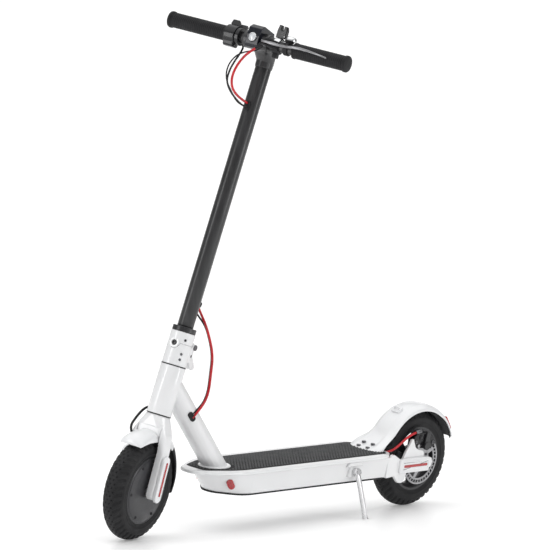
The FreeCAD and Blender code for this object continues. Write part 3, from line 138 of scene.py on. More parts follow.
def strip_light(name, where, power):
    data = bpy.data.lights.new(name, "AREA")
    data.shape = "RECTANGLE"
    data.size, data.size_y = STRIP_SIZE
    data.energy = power
    light = bpy.data.objects.new(name, data)
    bpy.context.scene.collection.objects.link(light)
    light.location = where
    light.rotation_mode = "QUATERNION"
    light.rotation_quaternion = (STRIP_TARGET - Vector(where)).to_track_quat("-Z", "Y")


def make_world():
    """Studio surroundings by direction: a bright ceiling, grey walls, and a white wall behind the object."""
    world = bpy.data.worlds.new("studio")
    bpy.context.scene.world = world
    world.use_nodes = True
    nodes, link = world.node_tree.nodes, world.node_tree.links.new
    where = nodes.new("ShaderNodeTexCoord").outputs["Generated"]
    split = nodes.new("ShaderNodeSeparateXYZ")
    toward = nodes.new("ShaderNodeVectorMath")
    toward.operation = "DOT_PRODUCT"
    toward.inputs[1].default_value = (-sin(CAMERA_AZIMUTH), cos(CAMERA_AZIMUTH), 0)
    mix = nodes.new("ShaderNodeMix")
    mix.data_type = "FLOAT"
    mix.inputs["B"].default_value = 1.0
    link(where, split.inputs[0])
    link(where, toward.inputs[0])
    for source, limits, target in (
            (split.outputs["Z"], (*CEILING_HEIGHTS, WALL_LIGHT, CEILING_LIGHT), mix.inputs["A"]),
            (toward.outputs["Value"], (*WHITE_WALL_EDGE, 0.0, 1.0), mix.inputs["Factor"])):
        step = nodes.new("ShaderNodeMapRange")
        step.interpolation_type = "SMOOTHSTEP"
        for socket, value in zip(step.inputs[1:5], limits):
            socket.default_value = value
        link(source, step.inputs["Value"])
        link(step.outputs["Result"], target)
    link(mix.outputs["Result"], nodes["Background"].inputs["Color"])


def make_studio():
    bpy.context.scene.view_settings.view_transform = "Standard"
    make_world()
    bpy.ops.mesh.primitive_plane_add(size=FLOOR_SIZE, location=(0, 0, 0))
    floor = bpy.context.object
    floor.name = "studio_floor"
    floor.data.materials.append(floor_material())
    for strip in STRIPS:
        strip_light(*strip)


# ---- material kit ----
class Material:
    """A principled material with small helpers for its nodes."""

    def __init__(self, name, colour, roughness, metallic=0.0, coat=0.0, coat_roughness=0.05):
        self.data = bpy.data.materials.new(name)
        self.data.use_nodes = True
        self.tree = self.data.node_tree
        self.shader = self.tree.nodes["Principled BSDF"]
        self.set("Base Color", (*colour, 1))
        self.set("Roughness", roughness)
        self.set("Metallic", metallic)
        self.set("Coat Weight", coat)
        self.set("Coat Roughness", coat_roughness)
        self.data.diffuse_color = (*colour, 1)

    def set(self, socket, value):
        self.shader.inputs[socket].default_value = value

    def node(self, kind, **inputs):
        made = self.tree.nodes.new(kind)
        for key, value in inputs.items():
            made.inputs[key].default_value = value
        return made

    def link(self, source, target):
        self.tree.links.new(source, target)

    def coordinates(self, scale=(1, 1, 1), turn=(0, 0, 0)):
        """The piece's own coordinates in metres, stretched and turned."""
        where = self.node("ShaderNodeTexCoord")
        mapping = self.node("ShaderNodeMapping")
        mapping.inputs["Scale"].default_value = scale
        mapping.inputs["Rotation"].default_value = turn
        self.link(where.outputs["Object"], mapping.inputs["Vector"])
        return mapping.outputs["Vector"]

    def noise(self, scale, detail=3.0, at=None):
        made = self.node("ShaderNodeTexNoise", Scale=scale, Detail=detail)
        self.link(at or self.coordinates(), made.inputs["Vector"])
        return made.outputs["Fac"]

    def vary(self, socket, source, low, high, start=0.3, end=0.7):
        """Drives a socket with a 0 to 1 value ramped between two colours or two greys."""
        made = self.node("ShaderNodeValToRGB")
        for element, at, value in zip(made.color_ramp.elements, (start, end), (low, high)):
            element.position = at
            element.color = (*value, 1) if isinstance(value, tuple) else (value, value, value, 1)
        self.link(source, made.inputs["Fac"])
        self.link(made.outputs["Color"], self.shader.inputs[socket])

    def bump(self, source, strength, distance):
        made = self.node("ShaderNodeBump", Strength=strength, Distance=distance)
        self.link(source, made.inputs["Height"])
        self.link(made.outputs["Normal"], self.shader.inputs["Normal"])


def floor_material():
    made = Material("floor_white", (0.95, 0.95, 0.95), 0.3)
    made.set("Emission Color", (1, 1, 1, 1))
    made.set("Emission Strength", FLOOR_GLOW)
    made.vary("Roughness", made.noise(2.0), 0.32, 0.4)
    return made.data


def gloss_paint(name, colour, shade):
    """Sprayed enamel: clear coat over faint orange peel, with a slow drift of tone."""
    made = Material(name, colour, 0.32, coat=0.7, coat_roughness=0.06)
    made.vary("Base Color", made.noise(6.0), shade, colour)
    made.vary("Roughness", made.noise(40.0), 0.28, 0.38)
    made.bump(made.noise(900.0, detail=1.0), 0.03, 0.0004)
    return made.data


def satin_paint(name, colour, shade, streak=None):
    """Powder coat: fine grain, and streaks along the tube if asked."""
    made = Material(name, colour, 0.34, metallic=0.25, coat=0.35, coat_roughness=0.22)
    made.set("Specular IOR Level", 0.4)
    if streak:
        made.vary("Base Color", made.noise(90.0, at=made.coordinates((1, 1, 0.02), streak)), shade, colour)
    else:
        made.vary("Base Color", made.noise(25.0), shade, colour)
    made.vary("Roughness", made.noise(60.0), 0.32, 0.44)
    made.bump(made.noise(2600.0, detail=2.0), 0.12, 0.0003)
    return made.data


def moulded(name, colour, shade, roughness, grain=1800.0, coat=0.0):
    """Moulded plastic or rubber with a fine skin grain."""
    made = Material(name, colour, roughness, coat=coat, coat_roughness=0.1)
    made.set("Specular IOR Level", 0.22)
    made.vary("Base Color", made.noise(30.0), shade, colour)
    made.vary("Roughness", made.noise(70.0), roughness - 0.05, roughness + 0.07)
    made.bump(made.noise(grain, detail=2.0), 0.15, 0.0003)
    return made.data


def metal(name, colour, shade, roughness):
    """Bare metal with a faintly uneven polish."""
    made = Material(name, colour, roughness, metallic=1.0)
    made.vary("Base Color", made.noise(20.0), shade, colour)
    made.vary("Roughness", made.noise(220.0), roughness - 0.06, roughness + 0.08)
    made.bump(made.noise(900.0), 0.06, 0.0002)
    return made.data


def lens_plastic(name, colour, shade):
    """Clear or coloured plastic over a prismatic back."""
    made = Material(name, colour, 0.16, coat=0.8, coat_roughness=0.04)
    cells = made.node("ShaderNodeTexVoronoi", Scale=420.0)
    made.link(made.coordinates(), cells.inputs["Vector"])
    made.vary("Base Color", cells.outputs["Distance"], colour, shade, 0.1, 0.7)
    made.bump(cells.outputs["Distance"], 0.25, 0.0006)
    return made.data


LEAN_TURN = (radians(-15.0), 0, 0)
WHITE = gloss_paint("white_enamel", (0.79, 0.793, 0.80), (0.75, 0.755, 0.763))
WHITE_PLASTIC = gloss_paint("white_gloss_plastic", (0.80, 0.806, 0.815), (0.76, 0.768, 0.778))
STEM_GREY = satin_paint("stem_satin_grey", (0.034, 0.034, 0.036), (0.018, 0.018, 0.019), streak=LEAN_TURN)
CHARCOAL = satin_paint("charcoal_satin", (0.03, 0.03, 0.032), (0.02, 0.02, 0.022))
NAVY = moulded("navy_gloss_plastic", (0.006, 0.007, 0.014), (0.004, 0.005, 0.01), 0.22, coat=0.3)
BLACK_GLOSS = moulded("black_gloss_plastic", (0.014, 0.014, 0.016), (0.008, 0.008, 0.009), 0.2, coat=0.25)
BLACK_MATTE = moulded("black_matte_plastic", (0.022, 0.022, 0.024), (0.014, 0.014, 0.016), 0.5)
GRIP_RUBBER = moulded("grip_rubber", (0.018, 0.018, 0.02), (0.011, 0.011, 0.012), 0.55, grain=2400.0)
MAT_RUBBER = moulded("mat_rubber", (0.085, 0.086, 0.088), (0.065, 0.066, 0.068), 0.6, grain=1500.0)
TYRE_RUBBER = moulded("tyre_rubber", (0.02, 0.02, 0.021), (0.012, 0.012, 0.013), 0.55, grain=900.0)
WHEEL_GREY = satin_paint("wheel_charcoal", (0.038, 0.038, 0.042), (0.028, 0.028, 0.031))
STEEL = metal("bright_steel", (0.62, 0.62, 0.63), (0.5, 0.5, 0.51), 0.28)
ALLOY = metal("polished_alloy", (0.78, 0.79, 0.8), (0.68, 0.69, 0.7), 0.18)
DARK_STEEL = metal("dark_steel", (0.2, 0.2, 0.21), (0.13, 0.13, 0.14), 0.35)
IRON = metal("stator_iron", (0.2, 0.2, 0.2), (0.12, 0.12, 0.12), 0.5)
STAND_SILVER = metal("stand_silver", (0.80, 0.80, 0.81), (0.7, 0.7, 0.71), 0.3)
RED_SLEEVE = moulded("red_cable_sleeve", (0.55, 0.012, 0.02), (0.40, 0.008, 0.014), 0.28, coat=0.3)
BLACK_SLEEVE = moulded("black_cable_sleeve", (0.016, 0.016, 0.017), (0.01, 0.01, 0.011), 0.4)
RED_LENS = lens_plastic("red_lens", (0.55, 0.01, 0.015), (0.3, 0.004, 0.008))

LEVER_GREY = metal("lever_grey_alloy", (0.30, 0.30, 0.31), (0.24, 0.24, 0.25), 0.34)
STEEL_ROTOR = metal("rotor_steel", (0.42, 0.42, 0.43), (0.32, 0.32, 0.33), 0.36)
HEADLIGHT_GLASS = lens_plastic("headlight_glass", (0.86, 0.88, 0.9), (0.6, 0.62, 0.65))
WINDOW_GLASS = moulded("window_glass", (0.006, 0.007, 0.01), (0.004, 0.004, 0.006), 0.1, coat=0.8)

NODE_MATERIALS = (
    (WHITE, "deck_shell down_tube head_tube fork fold_base fold_block rear_arms fold_lever"),
    (WHITE_PLASTIC, "front_fender rear_fender fork_covers arm_covers"),
    (STEM_GREY, "stem_tube handlebar"),
    (CHARCOAL, "yoke clamp_collar caliper_body caliper_arm"),
    (NAVY, "display_housing"),
    (BLACK_GLOSS, "power_button throttle_body throttle_lever bell_striker"),
    (GRIP_RUBBER, "grips frame_grommets stem_grommets charge_flap"),
    (MAT_RUBBER, "deck_mat"),
    (TYRE_RUBBER, "front_tyre rear_tyre"),
    (BLACK_MATTE, "bottom_cover front_mudflap charge_port battery_pack moving_pad"),
    (DARK_STEEL, "fold_pins frame_fasteners"),
    (ALLOY, "brake_clamp brake_lever bell_body headlight controller"),
    (STEEL, "headset rear_axle front_axle kick_pivot brake_disc"),
    (WHEEL_GREY, "rear_rim hub_shell motor_covers"),
    (IRON, "motor_stator"),
    (STAND_SILVER, "kick_leg"),
    (RED_SLEEVE, "upper_brake_cable rear_brake_cable loop_cables_upper loop_cables_lower"),
    (BLACK_SLEEVE, "black_cables motor_cable"),
    (RED_LENS, "reflectors tail_light"),
)
NODE_BEVEL = 0.4
WELD_REACH = 0.00001


def dress_node(name, material):
    """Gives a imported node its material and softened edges."""
    node = frame["nodes"][name]
    node.data.materials.clear()
    node.data.materials.append(material)
    node.modifiers.new("weld", "WELD").merge_threshold = WELD_REACH
    edge = node.modifiers.new("bevel", "BEVEL")
    edge.width = NODE_BEVEL * MM
    edge.segments = 2
    edge.limit_method = "ANGLE"
    edge.angle_limit = radians(30)
    edge.harden_normals = True


# ---- mesh kit: every piece is a skin over rings of points in local millimetres ----
SHARP = radians(38)


def skin(name, rings, place, material, caps=True, wrap=False):
    """Mesh between closed rings of equally many points, with capped ends or as a wrapped loop of rings."""
    count = len(rings[0])
    verts = [tuple(place @ Vector(point)) for ring in rings for point in ring]
    faces = []
    for i in range(len(rings) if wrap else len(rings) - 1):
        low, high = i * count, (i + 1) % len(rings) * count
        for k in range(count):
            n = (k + 1) % count
            faces.append((low + k, low + n, high + n, high + k))
    if caps and not wrap:
        faces.append(tuple(range(count))[::-1])
        faces.append(tuple(range((len(rings) - 1) * count, len(rings) * count)))
    return from_mesh(name, verts, faces, material)


def from_mesh(name, verts, faces, material, smooth=True):
    mesh = bpy.data.meshes.new(name)
    mesh.from_pydata(verts, [], faces)
    work = bmesh.new()
    work.from_mesh(mesh)
    bmesh.ops.recalc_face_normals(work, faces=work.faces)
    if smooth:
        for edge in work.edges:
            if len(edge.link_faces) == 2 and edge.calc_face_angle() > SHARP:
                edge.smooth = False
        for face in work.faces:
            face.smooth = True
    work.to_mesh(mesh)
    work.free()
    mesh.materials.append(material)
    piece = bpy.data.objects.new(name, mesh)
    bpy.context.scene.collection.objects.link(piece)
    return piece


def join(name, pieces):
    """One object from several, keeping each piece's material."""
    work = bmesh.new()
    mesh = bpy.data.meshes.new(name)
    materials = []
    for piece in pieces:
        start = len(work.faces)
        work.from_mesh(piece.data)
        work.faces.ensure_lookup_table()
        material = piece.data.materials[0]
        if material not in materials:
            materials.append(material)
            mesh.materials.append(material)
        for face in work.faces[start:]:
            face.material_index = materials.index(material)
        bpy.data.objects.remove(piece)
    work.to_mesh(mesh)
    work.free()
    joined = bpy.data.objects.new(name, mesh)
    bpy.context.scene.collection.objects.link(joined)
    return joined


def settle(piece, body, slot, *nodes):
    """Rides the piece on its body and hides what it stands for; the slot is not used."""
    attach(piece, body)
    if nodes:
        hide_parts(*nodes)


def circle(radius, count):
    return [(radius * cos(2 * pi * k / count), radius * sin(2 * pi * k / count))
            for k in range(count)]


def flipped(side, pairs):
    """Pairs with their first number mirrored for the right side."""
    return [(side * x, y) for x, y in pairs]


def lathe(name, profile, place, material, axis="x", count=96, sweep=None):
    """Turned ring from a closed (along, radius) profile; sweep is a start and end turn in degrees."""
    rings = []
    for k in range(count):
        turn = 2 * pi * k / count
        if sweep:
            turn = radians(sweep[0] + (sweep[1] - sweep[0]) * k / (count - 1))
        c, s = cos(turn), sin(turn)
        rings.append([{"x": (at, r * s, r * c), "y": (r * c, at, r * s), "z": (r * c, r * s, at)}[axis]
                      for at, r in profile])
    return skin(name, rings, place, material, wrap=not sweep)


def basis(way):
    """Two unit vectors square to the way."""
    way = Vector(way).normalized()
    side = way.cross(Vector((0, 0, 1)) if abs(way.z) < 0.9 else Vector((1, 0, 0))).normalized()
    return side, way.cross(side)


def laid(spot, side, rise, points):
    """Flat points laid out about a spot along two directions."""
    return [spot + side * x + rise * y for x, y in points]


def rod(name, radius, start, end, place, material, edge=0.4, hollow=0.0):
    """Round bar with softened ends, or a pipe."""
    start, end = Vector(start), Vector(end)
    way = (end - start).normalized()
    side, rise = basis(way)
    length = (end - start).length
    profile = [(0, radius - edge), (0.3 * edge, radius - 0.3 * edge), (edge, radius)]
    profile += [(length - at, r) for at, r in profile[::-1]]
    if hollow:
        profile = [(0, hollow)] + profile + [(length, hollow)]
    rings = [laid(start + way * at, side, rise, circle(r, 24)) for at, r in profile]
    return skin(name, rings, place, material, caps=not hollow, wrap=bool(hollow))


def smooth_path(points, steps=10):
    """Quadratic B-spline through the route: tangent at its ends, rounded at each corner."""
    points = [Vector(point) for point in points]
    path = []
    for k in range(1, len(points) - 1):
        start = points[0] if k == 1 else (points[k - 1] + points[k]) / 2
        end = points[-1] if k == len(points) - 2 else (points[k] + points[k + 1]) / 2
        for i in range(steps + (k == len(points) - 2)):
            t = i / steps
            path.append(start * (1 - t) ** 2 + points[k] * 2 * t * (1 - t) + end * t * t)
    return path


def ways_along(path):
    """Unit direction of travel at each point of a path."""
    return [(path[min(i + 1, len(path) - 1)] - path[max(i - 1, 0)]).normalized() for i in range(len(path))]


def hose(name, route, radius, place, material):
    """Round cable swept along a smooth route, without twist."""
    path = smooth_path(route)
    ways = ways_along(path)
    side = basis(ways[0])[0]
    rings = []
    for spot, way in zip(path, ways):
        side = (side - way * side.dot(way)).normalized()
        rings.append(laid(spot, side, way.cross(side), circle(radius, 14)))
    return skin(name, rings, place, material)


def rounded_outline(points, radii, steps=6):
    """Closed outline with its corners rounded by quadratic arcs; radii is one number or one per corner."""
    outline = []
    count = len(points)
    for k in range(count):
        corner, before = Vector(points[k]), Vector(points[k - 1])
        after = Vector(points[(k + 1) % count])
        radius = radii if isinstance(radii, (int, float)) else radii[k]
        way_in, way_out = corner - before, after - corner
        reach = min(radius, 0.45 * way_in.length, 0.45 * way_out.length)
        start = corner - way_in.normalized() * reach
        end = corner + way_out.normalized() * reach
        for i in range(steps + 1):
            t = i / steps
            spot = start * (1 - t) ** 2 + corner * 2 * t * (1 - t) + end * t * t
            outline.append((spot.x, spot.y))
    return outline


def inset(outline, distance):
    """Outline moved inward (positive) along its own normals."""
    count = len(outline)
    area = sum(outline[k - 1][0] * outline[k][1] - outline[k][0] * outline[k - 1][1] for k in range(count))
    sign = 1 if area > 0 else -1
    moved = []
    for k in range(count):
        way = Vector(outline[(k + 1) % count]) - Vector(outline[k - 1])
        if way.length < 1e-9:
            moved.append(outline[k])
            continue
        way.normalize()
        moved.append((outline[k][0] - sign * way.y * distance, outline[k][1] + sign * way.x * distance))
    return moved


def slab(name, outline, levels, place, material, across=False):
    """Plate from an outline; levels are (height, inset) pairs, and height runs along x if it stands across."""
    rings = [[(height, x, y) if across else (x, y, height) for x, y in inset(outline, distance)]
             for height, distance in levels]
    return skin(name, rings, place, material)


def soft_levels(low, high, edge):
    """Levels of a plate with rounded edges."""
    return [(low, edge), (low + 0.3 * edge, 0.3 * edge), (low + edge, 0), (high - edge, 0),
            (high - 0.3 * edge, 0.3 * edge), (high, edge)]


def box_outline(x_low, y_low, x_high, y_high, radius, steps=6):
    return rounded_outline([(x_low, y_low), (x_high, y_low), (x_high, y_high), (x_low, y_high)], radius, steps)


def stadium_outline(half, low, high):
    """Oblong outline with round ends, long side along its second axis."""
    points = [(half * cos(pi * k / 10), high - half + half * sin(pi * k / 10))
              for k in range(11)]
    return points + [(-x, low + high - y) for x, y in points]


def turned_x(centre, degrees):
    return Matrix.Translation(centre) @ Matrix.Rotation(radians(degrees), 4, "X")


# ---- tyres ----
TYRE_RING = 84.0
TYRE_SECTION = 24.0
TYRE_WALL = 3.5
TREAD_DEPTH = 2.2
TREAD_PITCHES = 40
SEGMENTS_PER_PITCH = 15


def tread(lateral, turn):
    """Depth of the tread at a lateral angle and a turn counted in pitches."""
    reach = abs(lateral)
    phase = turn % 1.0
    if reach < 0.36:
        depth = 0.0
        for at, shift in ((0.12, 0.25), (0.3, 0.75)):
            dx = (reach - at) * TYRE_SECTION
            dy = ((phase - shift + 0.5) % 1.0 - 0.5) * 2 * pi * TYRE_RADIUS / TREAD_PITCHES
            depth = max(depth, 1.0 - (dx * dx + dy * dy) / 5.0)
        return TREAD_DEPTH * min(1.0, max(0.0, depth) * 2)
    if reach < 1.2:
        along = (reach - 0.36) / 0.84
        centre = 0.15 + 0.75 * along - 0.25 * along * along
        gap = abs((phase - centre + 0.5) % 1.0 - 0.5)
        fade = min(1.0, along / 0.12, (1 - along) / 0.12)
        return TREAD_DEPTH * fade * max(0.0, min(1.0, (0.24 - gap) / 0.07))
    return 0.0


def sidewall(lateral):
    """Raised rings moulded in the sidewall."""
    height = 0.0
    for at, width, rise in ((1.32, 0.035, 0.8), (1.75, 0.05, 0.9), (2.15, 0.05, 1.2)):
        height += rise * exp(-((abs(lateral) - at) / width) ** 2)
    return height


def make_tyre(end, place):
    laterals = [2.42 * (2 * k / 72 - 1) for k in range(73)]
    inside = [(TYRE_SECTION - TYRE_WALL, lateral) for lateral in (2.3, 1.6, 0.8, 0.0, -0.8, -1.6, -2.3)]
    rings = []
    count = TREAD_PITCHES * SEGMENTS_PER_PITCH
    for i in range(count):
        turn = 2 * pi * i / count
        section = []
        for lateral in laterals:
            pitch = i / SEGMENTS_PER_PITCH + (0.5 if lateral < 0 else 0.0)
            section.append((TYRE_SECTION - tread(lateral, pitch) + sidewall(lateral), lateral))
        ring = []
        for radius, lateral in section + inside:
            out = TYRE_RING + radius * cos(lateral)
            ring.append((radius * sin(lateral), out * sin(turn), out * cos(turn)))
        rings.append(ring)
    tyre = skin(end + "_tyre_treaded", rings, place, TYRE_RUBBER, wrap=True)
    settle(tyre, end + "_wheel", "tyre", end + "_tyre")


# ---- wheels ----
def make_motor_covers():
    pieces = []
    profile = [(14, 11.2), (23.2, 11.2), (23.7, 11.8), (23.7, 40), (23.6, 65), (23.1, 65.8), (22.5, 66),
               (22.4, 67.4), (22.6, 68.2), (21.3, 70.3), (20.9, 70.4), (20.8, 64.6), (18.2, 64.6), (18, 59.8),
               (14, 59.8)]
    for side in (1, -1):
        pieces.append(lathe("cover", flipped(side, profile), FRONT_WHEEL, WHEEL_GREY, count=128))
        for k in range(6):
            turn = radians(60 * k + 15)
            spot = Vector((side * 23.5, 60 * cos(turn), 60 * sin(turn)))
            pieces.append(socket_screw(spot, (side, 0, 0), 3.2, 1.2, FRONT_WHEEL, BLACK_MATTE))
    settle(join("motor_cover_pair", pieces), "front_wheel", "wheel_charcoal", "motor_covers")


def socket_screw(seat, way, radius, height, place, material):
    """Cap screw head with a hexagonal socket."""
    way = Vector(way).normalized()
    seat = Vector(seat)
    side, rise = basis(way)
    rings = []
    for at, r, hexagonal in ((0, radius, 0), (height - 0.35, radius, 0), (height, radius - 0.35, 0),
                             (height, radius * 0.55, 1), (height * 0.35, radius * 0.52, 1)):
        points = circle(r, 24)
        if hexagonal:
            pulls = [cos(pi / 6) / cos(2 * pi * k / 24 % (pi / 3) - pi / 6) for k in range(24)]
            points = [(x * pull, y * pull) for (x, y), pull in zip(points, pulls)]
        rings.append(laid(seat + way * at, side, rise, points))
    return skin("screw", rings, place, material)


# ---- cables ----
UPPER_RED = [(20, -82, 934), (8, -92, 918), (2, -108, 890), (-3, -109, 862), (-6, -92, 841), (-5, -68, 830),
             (-2, -40, 824), (-1.5, -19, 822)]
THROTTLE_RUN = [(-50, -36, 936), (-37, -37, 935), (-34, -50, 914), (-33, -64, 896), (-29, -80, 874),
                (-22, -92, 850), (-15, -76, 832), (-4, -54, 818), (2, -38, 813), (2, -19, 814)]
SENSOR_RUN = [(24, -70, 940), (19, -73, 928), (-4, -80, 920), (-24, -84, 905), (-27, -97, 878), (-20, -99, 852),
              (-10, -78, 831), (-7, -56, 818), (-3.5, -38, 814), (-2.4, -19, 813.5)]
REAR_RED = [(38, 709, 135), (40, 734, 136), (42, 756, 147), (44, 776, 162), (44.5, 792, 170), (45, 807, 174)]
LOOP_MIDDLE = Vector((16, 162, 362))
GROMMET = Vector((0, 115.5, 261))
TUBE_FOOT = Vector((0, 223.0, 139.0))
TUBE_HEAD = Vector((0, 47.5, 338.0))
COLUMN_TO_UPRIGHT = UPRIGHT.inverted() @ COLUMN
STEERED_TO_UPRIGHT = UPRIGHT.inverted() @ STEERED


def grommet_point(out, along):
    """Point off the down tube's grommet: outward, and along the tube."""
    way = TUBE_HEAD - TUBE_FOOT
    slope = atan2(-way.y, way.z)
    turn = Matrix.Rotation(slope, 4, "X") @ Matrix.Rotation(radians(-15), 4, "Z")
    return GROMMET + turn @ Vector((out, 0, along))


def make_loop(name, radius, aside, low, material, nodes=()):
    """One cable from the stem's rear grommet, over the fold, into the down tube's grommet."""
    start = STEERED_TO_UPRIGHT @ Vector((aside, 19, 392 + low))
    leave = STEERED_TO_UPRIGHT @ Vector((aside, 32, 383 + low))
    middle = LOOP_MIDDLE + Vector((aside, -0.5 * aside, 0))
    upper = [start, leave, middle + Vector((-7, -23, 82)), middle + Vector((-2, -7, 42)),
             middle + Vector((0, 0, 14)), middle]
    lower = [middle, middle + Vector((0, 0, -20)), middle + Vector((3, -4, -62)), middle + Vector((8, -26, -88)),
             grommet_point(25, -low)]
    bend(hose(name + "_upper", upper, radius, UPRIGHT, material), nodes[:1])
    bend(hose(name + "_lower", lower, radius, UPRIGHT, material), nodes[1:])


def bend(cable, nodes):
    """Bakes an upright cable's placement into its mesh, leaving it on no body, and hides the nodes it stands for.
    """
    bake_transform(cable)
    if nodes:
        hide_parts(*nodes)


def make_cables():
    settle(hose("brake_cable_bow", UPPER_RED, 2.6, STEERED, RED_SLEEVE), "stem", "red_cable", "upper_brake_cable")
    pieces = [hose("throttle", THROTTLE_RUN, 2.0, STEERED, BLACK_SLEEVE),
              hose("sensor", SENSOR_RUN, 1.5, STEERED, BLACK_SLEEVE)]
    settle(join("handlebar_leads", pieces), "stem", "black_cable", "black_cables")
    settle(hose("rear_brake_run", REAR_RED, 2.6, UPRIGHT, RED_SLEEVE), "frame", "red_cable", "rear_brake_cable")
    make_loop("loop_red", 2.6, 2.6, 4.0, RED_SLEEVE, ("loop_cables_upper", "loop_cables_lower"))
    make_loop("loop_black", 2.0, -2.6, -4.0, BLACK_SLEEVE)
    start = COLUMN_TO_UPRIGHT @ Vector((-26, -4, 168))
    end = STEERED_TO_UPRIGHT @ Vector((-35, -18.5, 104))
    route = [start, start + Vector((-9.5, -3, -2)), STEERED_TO_UPRIGHT @ Vector((-41, -15, 140)),
             end + Vector((-4, -8, 14)), end]
    lead = hose("motor_lead", route, 2.6, UPRIGHT, BLACK_SLEEVE)
    bend(lead, ["motor_cable"])


# ---- deck ----
MAT_CORNERS = [(27, 163), (58, 238), (58, 701), (46, 713), (-46, 713), (-58, 701), (-58, 238), (-27, 163)]
MAT_ROUND = [14, 34, 10, 9, 9, 10, 34, 14]
MAT_TOP = 138.9
FIRST_ROW, LAST_ROW = 172.0, 708
TAIL_ROWS = 690
FLANGE_REACH = 42
MARK_PITCH = 4.5
ROW_PITCH = 4.4
HEXAGON = ((1, 0), (0.35, 1), (-0.35, 1), (-1, 0), (-0.35, -1), (0.35, -1))


def deck_outline(half, front, nose, shoulder, rear, rear_half, rear_corner, round_nose, round_shoulder):
    """Rounded outline of the deck at one height: nose, shoulders, straight sides and tapered tail."""
    left = [(nose, front), (half, shoulder), (half, rear_corner), (rear_half, rear)]
    corners = left + [(-x, y) for x, y in left[::-1]]
    radii = [round_nose, round_shoulder, 14, 8, 8, 14, round_shoulder, round_nose]
    return rounded_outline(corners, radii, steps=9)


def make_deck_shell():
    low = deck_outline(62, 208, 14, 252, 712, 60.5, 705, 18, 46)
    high = deck_outline(66.4, 172, 18, 240, 712, 64.6, 705, 24, 46)
    rim = deck_outline(72, 137, 20, 234, 722, 50, 694, 22, 52)
    mat = deck_outline(58.2, 162.7, 27, 238, 713.3, 46, 701, 14, 34)
    rings = []
    for outline, levels in ((low, ((86.6, 4), (87, 1.2), (88.2, 0))), (high, ((129.5, 0), (131, 0.4))),
                            (rim, ((131, 3.5), (131.2, 1.4), (132.2, 0.3), (133.6, 0), (135.6, 0), (137.4, 0.7),
                                   (138.5, 2.2), (138.8, 4.4))),
                            (mat, ((138.9, -0.4), (138.5, 0), (136.8, 0)))):
        for height, distance in levels:
            rings.append([(x, y, height) for x, y in inset(outline, distance)])
    shell = skin("shell", rings, UPRIGHT, WHITE)
    pad = slab("pad", rounded_outline([(572, 99), (608, 99), (603, 129), (577, 129)], 6),
               [(60, 0), (66.5, 0), (68.6, 0.6), (70, 2.2)], UPRIGHT, WHITE, across=True)
    lug = slab("lug", rounded_outline([(564, 122), (616, 122), (608, 131), (572, 131)], 3),
               [(60, 0), (70.6, 0), (71.6, 1)], UPRIGHT, WHITE, across=True)
    settle(join("deck_shell_smooth", [shell, pad, lug]), "frame", "white_paint", "deck_shell")
    bottom = slab("bottom_plate", deck_outline(63, 206, 14, 251, 696, 60, 690, 18, 46),
                  soft_levels(84.6, 88.2, 0.8), UPRIGHT, BLACK_MATTE)
    settle(bottom, "frame", "black_plastic", "bottom_cover")
    socket = rod("socket_floor", 4.3, (-65.9, 300, 110), (-64.9, 300, 110), UPRIGHT, BLACK_MATTE, edge=0.2)
    settle(socket, "frame", "black_plastic")


def make_deck_mat():
    outline = rounded_outline(MAT_CORNERS, MAT_ROUND)
    pieces = [slab("mat", outline, [(136.6, 0.2), (136.8, 0), (MAT_TOP - 0.4, 0), (MAT_TOP, 0.6)], UPRIGHT,
                   GRIP_RUBBER)]
    verts, faces = [], []
    row = 0
    y = FIRST_ROW
    while y < LAST_ROW:
        reach = 58 if y > 238 else 27 + (y - 163) * 31 / 75
        for c in range(-13, 14):
            x = MARK_PITCH * c
            foot = Vector((x, y - TUBE_FOOT.y)).length
            if abs(x) > reach - 6 or foot < FLANGE_REACH or (c + row) % 2 or (y > TAIL_ROWS and abs(x) > 48):
                continue
            start = len(verts)
            for height, dx, dy in ((MAT_TOP - 0.3, 3.6, 2.3), (MAT_TOP + 1.0, 3.0, 1.7)):
                verts += [tuple(UPRIGHT @ Vector((x + dx * a, y + dy * b, height))) for a, b in HEXAGON]
            faces += [(start + k, start + (k + 1) % 6, start + 6 + (k + 1) % 6, start + 6 + k) for k in range(6)]
            faces.append(tuple(range(start + 6, start + 12)))
            faces.append(tuple(range(start, start + 6))[::-1])
        y += ROW_PITCH
        row += 1
    pieces.append(from_mesh("marks", verts, faces, MAT_RUBBER, smooth=False))
    settle(join("deck_mat_ribbed", pieces), "frame", "mat_rubber", "deck_mat")


def make_reflectors():
    """Red oblong lenses on the nose's shoulders, and the rear arms' covers with their red strips."""
    lens = stadium_outline(7.4, -12.2, 12.2)
    strip = box_outline(766, 101.4, 842, 107.4, 2.8)
    cover = box_outline(755, 88.5, 853, 120.5, 9, steps=10)
    lens_levels = ((-3, 0), (1.6, 0), (2.4, 0.5), (2.8, 1.6))
    strip_levels = ((56, 0), (58.4, 0), (58.8, 0.5))
    cover_levels = ((50, 0), (53.8, 0), (55.6, 0.7), (56.4, 2.4), (56.5, 5), (57.2, 6), (57.9, 7), (58, 9))
    for side, way in ((1, "left"), (-1, "right")):
        seat = Matrix.Translation((side * 48.4, 226.7, 109)) @ Matrix.Rotation(radians(side * -34.6), 4, "Z")
        seat = UPRIGHT @ seat @ Matrix.Rotation(radians(side * 13), 4, "Y") @ turned_x((0, 0, 0), 30)
        for name, outline, levels, spot, material, slot, nodes in (
                ("nose_reflector_", lens, lens_levels, seat, RED_LENS, "red_lens", ["reflectors"]),
                ("arm_strip_", strip, strip_levels, UPRIGHT, RED_LENS, "red_lens", []),
                ("arm_cover_", cover, cover_levels, UPRIGHT, WHITE_PLASTIC, "white_plastic", ["arm_covers"])):
            piece = slab(name + way, outline, flipped(side, levels), spot, material, across=True)
            settle(piece, "frame", slot, *(nodes if side > 0 else []))


